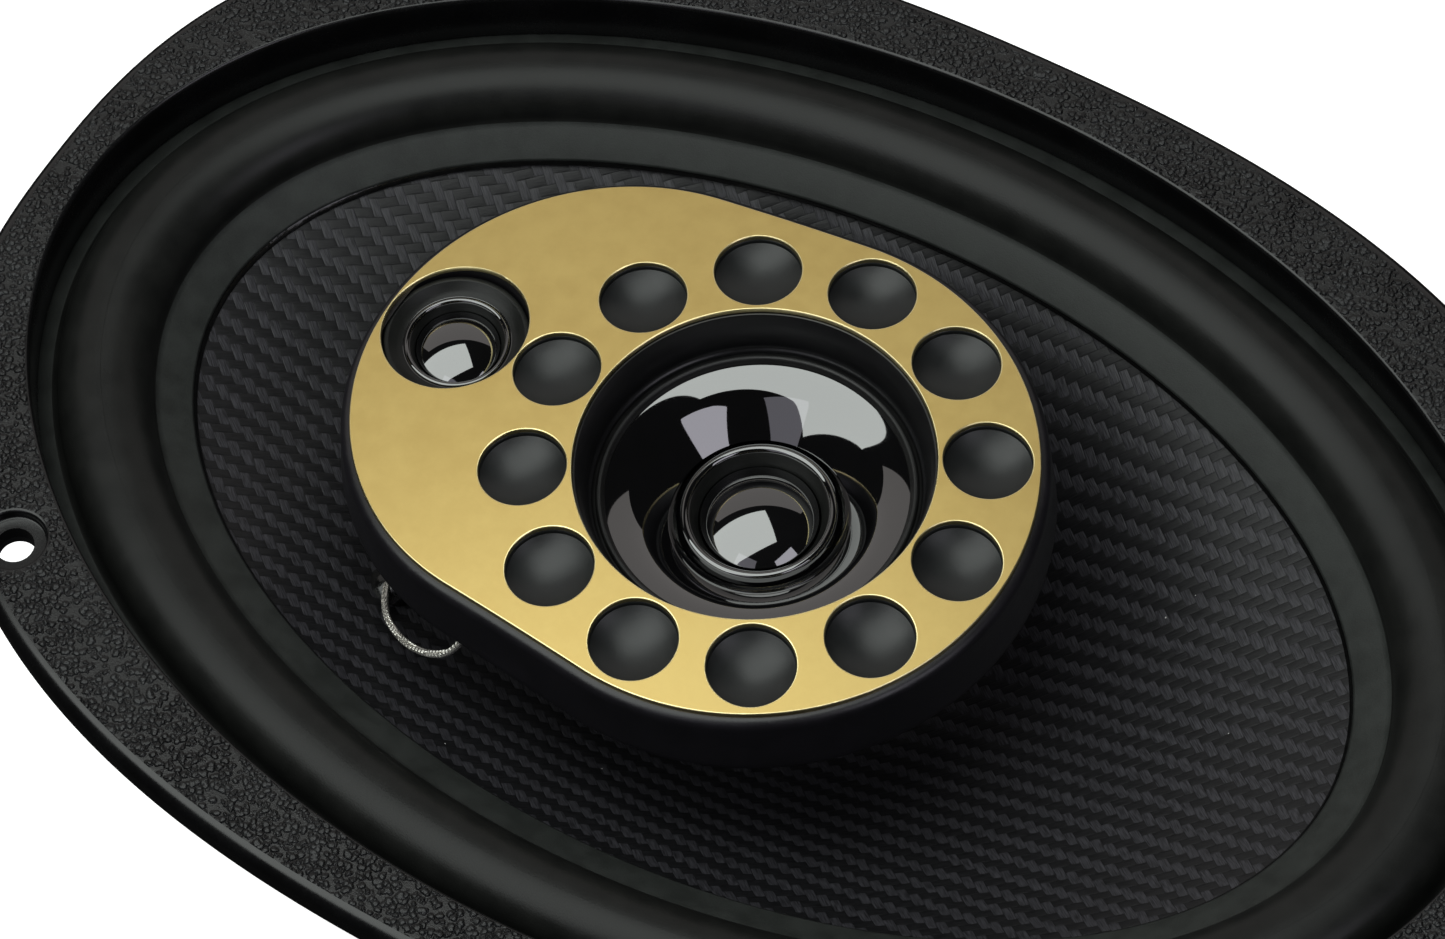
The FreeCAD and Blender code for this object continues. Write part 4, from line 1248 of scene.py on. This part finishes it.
    def spider(self) -> None:
        """Corrugated cloth disc, in sectors."""
        foot, first, low = 37.0, 13.15, -46.0
        steps, waves = 96, 6
        profile = [(40.0, low + 0.7), (39.0, low + 0.7)]
        for index in range(steps + 1):
            share = index / steps
            swing = math.cos(math.tau * waves * share)
            profile.append((foot - (foot - first - 2) * share, low + 2.0 - 0.75 * swing))
        profile.append((first, low + 1.6))
        sectors = 12
        for index in range(sectors):
            bm = bmesh.new()
            turn = math.tau * index / sectors
            verts = [bm.verts.new((r * MM, 0.0, z * MM)) for r, z in profile]
            edges = [bm.edges.new(pair) for pair in zip(verts, verts[1:])]
            bmesh.ops.rotate(bm, verts=verts, cent=(0, 0, 0),
                             matrix=Matrix.Rotation(turn - math.pi / sectors, 3, "Z"))
            bmesh.ops.spin(bm, geom=verts + edges, cent=(0, 0, 0), axis=UP, dvec=(0, 0, 0),
                           angle=math.tau / sectors, steps=8, use_merge=False, use_normal_flip=False,
                           use_duplicate=False)
            bmesh.ops.recalc_face_normals(bm, faces=bm.faces)
            if sum(face.normal.z for face in bm.faces) < 0:
                bmesh.ops.reverse_faces(bm, faces=bm.faces)
            piece = to_piece(f"spider_sector_{index + 1:02d}", bm, SPIDER, angle=80)
            skin = piece.modifiers.new("cloth", "SOLIDIFY")
            skin.thickness, skin.offset = 0.4 * MM, -1.0
            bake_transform(piece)
            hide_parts("spider")

    def voice_coil(self) -> None:
        """Aluminium former and copper winding."""
        former = turned("former_tube", [(12.75, -63.0), (13.04, -63.0), (13.04, -37.5), (12.75, -37.5)],
                        ALUMINIUM, rounding=0.05)
        fasten(former, Body.WOOFER, "coil_former", "voice_coil_former")
        winding = turned("coil_winding", [(13.05, -63.0), (13.45, -63.0), (13.45, -53.0), (13.05, -53.0)],
                         COPPER, rounding=0.08)
        fasten(winding, Body.WOOFER, "copper_wire", "voice_coil_winding")


# ---------------------------------------------------------------- motor
@dataclass
class Motor:
    """Top plate, ferrite ring, yoke, rubber boot, centre post and bolt."""

    can: float = -55.0
    top: float = -61.0
    magnet: float = -78.0
    back: float = -84.0

    def build(self) -> None:
        """Make every piece of the motor."""
        plate = turned("top_plate_ring", [(13.9, self.top), (41.0, self.top), (41.0, self.can),
                                          (13.9, self.can)], ZINC, rounding=0.5)
        fasten(plate, Body.FRAME, "zinc_steel", "top_plate")
        ferrite = turned("ferrite_ring", [(19.9, self.magnet), (45.0, self.magnet), (45.0, self.top),
                                          (19.9, self.top)], FERRITE, rounding=0.8)
        fasten(ferrite, Body.FRAME, "ferrite", "ferrite_magnet")
        yoke = turned("yoke_and_pole", [(5.2, self.back), (42.0, self.back), (42.0, self.magnet),
                                        (12.2, self.magnet), (12.2, self.can + 2), (2.7, self.can + 2),
                                        (2.7, self.back + 4.2), (5.2, self.back + 4.2)], ZINC,
                      rounding=0.5)
        fasten(yoke, Body.FRAME, "zinc_steel", "pole_yoke")
        self.boot()
        post = turned("post_sleeve", [(2.7, self.can + 2), (6.0, self.can + 2), (6.0, -22.0),
                                      (2.7, -22.0)], ZINC, rounding=0.3)
        fasten(post, Body.FRAME, "zinc_steel", "centre_post")
        self.bolt()

    def boot(self) -> None:
        """Rubber boot round the magnet, with two raised bands and a stepped back."""
        low, out = self.back - 1.2, 46.9
        profile = [(34.0, self.back), (34.0, low)]
        profile += [(36.5, low), (37.0, low + 0.5), (39.5, low + 0.5), (40.0, low), (out - 2.4, low)]
        profile += arc((out - 2.4, low), (out, low + 2.4), -0.7, 6)
        for z in (self.magnet + 1.0, self.magnet + 9.0):
            profile += [(out, z), (out - 0.5, z + 0.5), (out - 0.5, z + 3.5), (out, z + 4.0)]
        profile += [(out, self.top + 1.5), (out - 1.5, self.top + 3.0), (42.5, self.top + 3.0)]
        profile += [(42.5, self.top + 0.1), (45.1, self.top + 0.1), (45.1, self.magnet),
                    (42.1, self.magnet), (42.1, self.back)]
        boot = turned("magnet_boot_shell", profile, BOOT, rounding=0.25, segments=160)
        fasten(boot, Body.FRAME, "boot_rubber", "magnet_boot")

    def bolt(self) -> None:
        """Socket-head bolt through the pole, the post and the midrange pot."""
        low, head = self.back + 0.2, self.back + 4.2
        bolt = turned("pod_bolt", [(0.0, low), (3.9, low), (4.25, low + 0.4), (4.25, head), (2.5, head),
                                   (2.5, -15.6), (0.0, -15.6)], ZINC, rounding=0.12, segments=96)
        socket = bmesh.new()
        bmesh.ops.create_cone(socket, cap_ends=True, radius1=2.3 * MM, radius2=2.3 * MM, depth=5 * MM,
                              segments=6)
        bmesh.ops.translate(socket, verts=socket.verts, vec=(0, 0, low * MM))
        cut(bolt, [socket])
        bolt.data.set_sharp_from_angle(angle=math.radians(35))
        fasten(bolt, Body.FRAME, "zinc_steel", "centre_bolt")


@dataclass
class Terminals:
    """Fibre board with two blades and their rivets."""

    shelf: float = -46.0
    row: tuple[tuple[float, float], ...] = ((-8.0, 6.3), (8.0, 4.8))
    rivet_x: float = -58.0

    def build(self) -> None:
        """Make the board, the blades and the rivets."""
        board = to_piece("terminal_strip", block((15.0, 28.0, 1.6), (-56.5, 0.0, self.shelf + 0.8), 0.25),
                         FIBRE)
        fasten(board, Body.FRAME, "fibre_board", "terminal_board")
        for word, (y, width) in zip(("wide", "narrow"), self.row):
            blade = to_piece(f"{word}_blade", self.blade(y, width), TINNED)
            cut(blade, [rod(0.9, self.shelf, self.shelf + 4, -70.0, y, 24)])
            blade.data.set_sharp_from_angle(angle=math.radians(35))
            fasten(blade, Body.FRAME, "tinned_brass", "terminal_blades")
            z = self.shelf + 2.4
            rivet = turned(f"{word}_blade_rivet", [(0.0, z), (2.3, z), (2.2, z + 0.4), (1.6, z + 0.7),
                                                   (0.9, z + 0.7), (0.7, z + 0.4), (0.0, z + 0.4)],
                           TINNED, x=self.rivet_x, rounding=0.08, segments=48)
            for item in rivet.data.vertices:
                item.co.y += y * MM
            fasten(rivet, Body.FRAME, "tinned_brass", "terminal_rivets")

    def blade(self, y: float, width: float) -> bmesh.types.BMesh:
        """Flat blade with a tapered tip."""
        bm = block((25.0, width, 0.8), (-61.5, y, self.shelf + 2.0))
        bmesh.ops.bisect_plane(bm, geom=bm.verts[:] + bm.edges[:] + bm.faces[:],
                               plane_co=(-71.5 * MM, 0, 0), plane_no=(1, 0, 0))
        for vert in bm.verts:
            if vert.co.x < -73.9 * MM:
                vert.co.y = (y + (vert.co.y / MM - y) * 0.72) * MM
                vert.co.z = (self.shelf + 2.0) * MM + (vert.co.z - (self.shelf + 2.0) * MM) * 0.45
        soften(bm, 0.12)
        return bm


# ---------------------------------------------------------------- pod
@dataclass
class Pod:
    """Gold plate and moulded shell with twelve dishes."""

    crown_z: float = 13.4
    crown_radius: float = 367.0
    large: float = 39.3
    nose: float = 36.6
    nose_x: float = -23.3
    plate: float = 0.8
    edge: float = 0.2
    centre_opening: float = 25.1
    side_opening: float = 10.5
    side_x: float = -49.0
    dish_count: int = 12
    dish_circle: float = 32.0
    dish: float = 6.13
    dish_step: float = 0.8
    dish_depth: float = 1.9
    shell_grow: float = 2.0
    shell_top: float = 1.4
    brow: float = 1.3

    def build(self) -> None:
        """Make the pod."""
        self.face_plate()
        self.shell()

    def tangent(self) -> float:
        """Angle at which the straight sides leave the large circle."""
        return math.acos((self.large - self.nose) / self.nose_x)

    def outward(self, point: Vector) -> Vector:
        """Level direction out of the pod at a point of its outline."""
        if abs(math.atan2(point.y, point.x)) <= self.tangent() + 1e-4:
            return Vector((point.x, point.y, 0.0)).normalized()
        return Vector((point.x - self.nose_x * MM, point.y, 0.0)).normalized()

    def outline(self, bm: bmesh.types.BMesh, grow: float, z: float) -> list[bmesh.types.BMEdge]:
        """Closed outline: a large circle and a nose circle joined by straight sides."""
        verts = bmesh.ops.create_circle(bm, cap_ends=False, radius=1.0, segments=216)["verts"]
        for vert in verts:
            turn = math.atan2(vert.co.y, vert.co.x)
            on_large = abs(turn) <= self.tangent()
            centre, radius = (0.0, self.large) if on_large else (self.nose_x, self.nose)
            vert.co = Vector((centre + (radius + grow) * math.cos(turn), (radius + grow) * math.sin(turn),
                              z)) * MM
        return loop_of(verts)

    def holes(self) -> list[tuple[float, float, float]]:
        """Radius and centre of the twelve dish holes."""
        places = []
        for index in range(self.dish_count):
            turn = math.pi + math.tau * index / self.dish_count
            places.append((self.dish, self.dish_circle * math.cos(turn), self.dish_circle * math.sin(turn)))
        return places

    def crown(self, bm: bmesh.types.BMesh, flat_below: float) -> None:
        """Bend a flat mesh over the crown, and leave it flat at a height far below."""
        for vert in bm.verts:
            fall = self.crown_radius - math.sqrt(
                self.crown_radius ** 2 - (vert.co.x / MM) ** 2 - (vert.co.y / MM) ** 2)
            height = vert.co.z / MM
            share = min(1.0, max(0.0, (height - flat_below) / 8.0))
            vert.co.z = (height + self.crown_z - fall * share) * MM

    def crown_normals(self, mesh: bpy.types.Mesh) -> None:
        """Shade the front of the plate as the ball it is part of."""
        normals = [Vector((0.0, 0.0, 0.0))] * len(mesh.loops)
        ball = Vector((0.0, 0.0, (self.crown_z - self.crown_radius) * MM))
        for face in mesh.polygons:
            if face.material_index == 0 and face.normal.z > 0.5:
                for index in face.loop_indices:
                    normals[index] = (mesh.vertices[mesh.loops[index].vertex_index].co - ball).normalized()
        mesh.normals_split_custom_set(normals)

    def face_plate(self) -> None:
        """Crowned gold plate whose walls and rounded edges are a brighter, smoother gold: the brighter colour is
        a painted highlight.
        """
        bm = bmesh.new()
        lower = [self.outline(bm, 0.0, -self.plate)]
        rise = self.plate - self.edge
        upper = sweep(bm, lower[0], [(0.0, rise)] + quarter(self.edge, 3, -1), self.outward)
        openings = [(self.centre_opening, 0.0, 0.0, 192), (self.side_opening, self.side_x, 0.0, 96)]
        openings += [(*hole, 64) for hole in self.holes()]
        for radius, x, y, segments in openings:
            start = ring(bm, radius, -self.plate, x, y, segments)
            lower.append(start)
            upper = upper + sweep(bm, start, [(0.0, rise)] + quarter(self.edge, 3, 1), away_from(x, y))
        # Walls and rounded edges take slot 1, the brighter gold of the painted highlight.
        for face in bm.faces:
            face.material_index = 1
        bmesh.ops.triangle_fill(bm, use_beauty=True, use_dissolve=False, edges=upper)
        bmesh.ops.triangle_fill(bm, use_beauty=True, use_dissolve=False,
                                edges=[edge for loop in lower for edge in loop])
        for face in bm.faces:
            if len({round(vert.co.z, 7) for vert in face.verts}) == 1:
                face.material_index = 0
        grid_cut(bm, (-58.5, -37.5), (39.0, 39.0), 3.0)
        self.crown(bm, -40.0)
        bmesh.ops.recalc_face_normals(bm, faces=bm.faces)
        piece = to_piece("gold_face_plate", bm, GOLD, BRIGHT_GOLD, angle=30)
        self.crown_normals(piece.data)
        fasten(piece, Body.FRAME, "gold_plate", "face_plate")

    def shell(self) -> None:
        """Moulded shell whose deck is dished behind each hole of the plate."""
        bm = bmesh.new()
        deck = -self.plate
        bottom = -self.crown_z
        wall = deck - self.brow - bottom - 0.4
        start = self.outline(bm, self.shell_grow - 2.2, bottom + 0.3)
        steps = [(1.8, -0.3)] + quarter(0.4, 3, 1, rise_first=False)
        slope = (self.shell_top - self.shell_grow) / 8
        steps += [(slope, wall / 8)] * 8
        steps += quarter(self.brow, 6, -1)
        steps += [(-1.2, 0.0)]
        upper = sweep(bm, start, steps, self.outward)
        for radius, depth, x, y, segments in ((self.centre_opening + 0.15, 3.0, 0.0, 0.0, 128),
                                              (self.side_opening, 5.0, self.side_x, 0.0, 72)):
            start = ring(bm, radius, deck - depth, x, y, segments)
            upper = upper + sweep(bm, start, [(0.0, depth)], away_from(x, y))
        shell_faces = set(bm.faces)
        for radius, x, y in self.holes():
            start = ring(bm, radius + 0.25, deck, x, y, 64)
            upper = upper + start
            edge = radius - 0.1
            outward = away_from(x, y)
            down = [(out, -rise) for out, rise in quarter(0.35, 3, -1, rise_first=False)]
            wall_steps = down + [(0.0, -(self.dish_step - 0.35))]
            ball = edge ** 2 / (2 * self.dish_depth) + self.dish_depth / 2
            rings = 10
            bowl = []
            depth = 0.0
            for index in range(1, rings + 1):
                reach = edge * (1 - index / rings)
                below = self.dish_depth - (ball - math.sqrt(ball ** 2 - reach ** 2))
                bowl.append((-edge / rings, depth - below))
                depth = below
            sweep(bm, start, wall_steps + bowl, outward)
        for face in bm.faces:
            face.material_index = 0 if face in shell_faces else 1
        made = bmesh.ops.triangle_fill(bm, use_beauty=True, use_dissolve=False, edges=upper)["geom"]
        for face in made:
            if isinstance(face, bmesh.types.BMFace):
                face.material_index = 0
        bmesh.ops.remove_doubles(bm, verts=bm.verts, dist=2e-6)
        grid_cut(bm, (-56.0, -36.0), (38.0, 38.0), 6.0)
        self.crown(bm, bottom)
        bmesh.ops.recalc_face_normals(bm, faces=bm.faces)
        top = max(bm.faces, key=lambda face: face.calc_center_median().z)
        if top.normal.z < 0:
            bmesh.ops.reverse_faces(bm, faces=bm.faces)
        piece = to_piece("pod_shell", bm, POD, DISH, angle=40)
        fasten(piece, Body.FRAME, "pod_plastic", "pod_housing")


# ---------------------------------------------------------------- drivers in the pod
@dataclass
class Midrange:
    """Midrange with a glossy bowl round the centre tweeter."""

    def build(self) -> None:
        """Make the midrange's pieces."""
        profile = [(24.75, 11.6), (25.2, 11.6), (25.2, 7.0), (27.4, 7.0), (27.4, 5.4), (26.2, 5.4),
                   (26.2, 2.6), (21.6, -6.0), (21.6, -9.0), (20.1, -9.0), (20.1, -5.6), (22.1, 2.8),
                   (22.1, 4.4), (22.9, 4.4), (22.9, 5.1), (23.3, 5.4), (23.5, 5.9), (23.45, 6.3)]
        frame_piece = turned("midrange_bezel", profile, SATIN, rounding=0.18, segments=192)
        fasten(frame_piece, Body.FRAME, "frame_plastic", "midrange_frame")
        self.surround()
        flare = [(21.4, 4.4)] + arc((21.4, 4.4), (16.7, 2.75), -0.31, 14)
        flare += arc((16.7, 2.75), (12.0, -0.95), -0.12, 12)
        flare += [(12.0, -1.77)] + arc((12.0, -1.77), (17.03, 2.25), 0.12, 8)
        flare += arc((17.03, 2.25), (21.4, 3.8), 0.3, 8)
        cone = turned("midrange_flare", flare, GLOSS, rounding=0.0, segments=192)
        fasten(cone, Body.MIDRANGE, "gloss_black", "midrange_cone")

    def surround(self) -> None:
        """Small rubber roll in two halves that meet at its crest."""
        base, crest, half, middle = 4.7, 5.35, 0.45, 21.9
        outer = [(22.85, base), (22.5, base)]
        inner = []
        for index in range(1, 8):
            turn = math.pi / 2 * index / 8
            outer.append((middle + half * math.cos(turn) + 0.05, base + (crest - base) * math.sin(turn)))
            inner.append((middle - half * math.sin(turn) - 0.05, base + (crest - base) * math.cos(turn)))
        outer += [(middle + 0.05, crest), (middle, crest)]
        inner = [(middle, crest), (middle - 0.05, crest)] + inner + [(21.3, base), (21.1, base - 0.35)]
        for word, profile, flip in (("outer", outer, False), ("inner", inner, True)):
            bm = spun(profile, 160, closed=False)
            if sum(face.normal.z for face in bm.faces) < 0:
                bmesh.ops.reverse_faces(bm, faces=bm.faces)
            piece = to_piece(f"midrange_roll_{word}", bm, SOFT, angle=60)
            skin = piece.modifiers.new("skin", "SOLIDIFY")
            skin.thickness, skin.offset = 0.25 * MM, -1.0
            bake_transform(piece)
            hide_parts("midrange_surround")


@dataclass
class Dome:
    """Glazed dome with the skirt that carries its coil."""

    name: str
    node: str
    body: Body
    radius: float
    edge_z: float
    top_z: float
    skirt_z: float
    x: float = 0.0
    film: float = 0.25

    def build(self) -> None:
        """Make the dome."""
        rise = self.top_z - self.edge_z
        ball = (self.radius ** 2 + rise ** 2) / (2 * rise)
        steps = 20
        outer, inner = [], []
        for index in range(steps + 1):
            r = self.radius * index / steps
            drop = ball - math.sqrt(ball ** 2 - r ** 2)
            outer.append((r, self.top_z - drop))
            inner.append((r * (1 - self.film / self.radius), self.top_z - self.film - drop))
        inner.reverse()
        profile = outer + [(self.radius, self.skirt_z), (self.radius - self.film, self.skirt_z)] + inner
        bm = spun(profile, 96, closed=False)
        bmesh.ops.translate(bm, verts=bm.verts, vec=(self.x * MM, 0, 0))
        piece = to_piece(self.name, bm, DOME)
        fasten(piece, self.body, "gloss_black", self.node)


@dataclass
class Tweeters:
    """Knob-shaped tweeter in the centre and the small one in the nose."""

    side_x: float = -49.0

    def dull_inside(self, piece: bpy.types.Object, x: float, radius: float, slot: int = 1) -> None:
        """Put the faces within a radius of an upright axis in another material slot."""
        for face in piece.data.polygons:
            if math.hypot(face.center.x / MM - x, face.center.y / MM) < radius:
                face.material_index = slot

    def build(self) -> None:
        """Make both tweeters."""
        centre = [(7.5, -7.4), (11.6, -7.4), (11.6, -1.4), (11.3, -1.0), (11.1, -0.5)]
        centre += arc((11.1, -0.5), (9.7, -0.5), -0.5, 12) + [(9.5, -1.3), (8.6, -2.4), (8.6, -6.4), (7.5, -6.4)]
        housing = turned("centre_tweeter_knob", centre, GLOSS, RUBBER, rounding=0.12, segments=160)
        self.dull_inside(housing, 0.0, 9.6)
        fasten(housing, Body.FRAME, "gloss_black", "centre_tweeter_housing")
        Dome("centre_tweeter_film", "centre_tweeter_dome", Body.CENTRE_TWEETER, 8.3, -2.1, 0.6, -5.6).build()
        side = [(6.1, 2.0), (9.2, 2.0), (9.2, 6.0), (10.4, 6.0), (10.4, 7.2), (10.2, 7.4), (9.6, 7.4)]
        side += [(8.6, 6.5), (7.6, 6.1)] + arc((7.6, 6.1), (6.7, 6.0), -0.38, 8)
        side += [(6.4, 5.2), (6.1, 4.8)]
        shell = turned("side_tweeter_cup", side, RUBBER, GLOSS, x=self.side_x, rounding=0.1, segments=128)
        self.dull_inside(shell, self.side_x, 8.0)
        self.dull_inside(shell, self.side_x, 6.6, 0)
        fasten(shell, Body.FRAME, "gloss_black", "side_tweeter_housing")
        Dome("side_tweeter_film", "side_tweeter_dome", Body.SIDE_TWEETER, 5.9, 4.9, 6.7, 2.6,
             self.side_x).build()


# ---------------------------------------------------------------- pieces kept from the CAD model
@dataclass
class Kept:
    """CAD nodes whose shape is right, with their finishes."""

    finishes: tuple[tuple[str, Finish], ...] = (
        ("lead_eyelets", TINNED), ("lead_bushings", POD), ("pod_floor", POD), ("pod_screws", ZINC),
        ("crossover_capacitors", SLEEVE), ("midrange_former", ALUMINIUM), ("midrange_winding", COPPER),
        ("midrange_pot", ZINC), ("midrange_magnet", NICKEL), ("midrange_pole_plate", ZINC),
        ("centre_tweeter_magnet", NICKEL), ("side_tweeter_magnet", NICKEL))

    def build(self) -> None:
        """Dress the kept nodes and round their edges."""
        for name, finish in self.finishes:
            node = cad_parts[name]
            dress(node, finish)
            weld = node.modifiers.new("weld", "WELD")
            weld.merge_threshold = 1e-6
            edge = node.modifiers.new("edge", "BEVEL")
            edge.width, edge.segments, edge.limit_method = 0.12 * MM, 2, "ANGLE"
            edge.angle_limit = math.radians(40)
            LOG.info("%s: kept from the CAD model", name)


def main() -> None:
    """Build the studio and every piece of the speaker, in order."""
    logging.basicConfig(level=logging.INFO, format="%(message)s")
    floor_z = CAD_BOX[0].z - 0.2 * MM
    Studio(floor_z).build()
    Leads().build()
    for part in (TrimRing(), Basket(), Diaphragm(), Motor(), Terminals(), Pod(), Midrange(), Tweeters(),
                 Kept()):
        part.build()


if __name__ == "__main__":
    main()
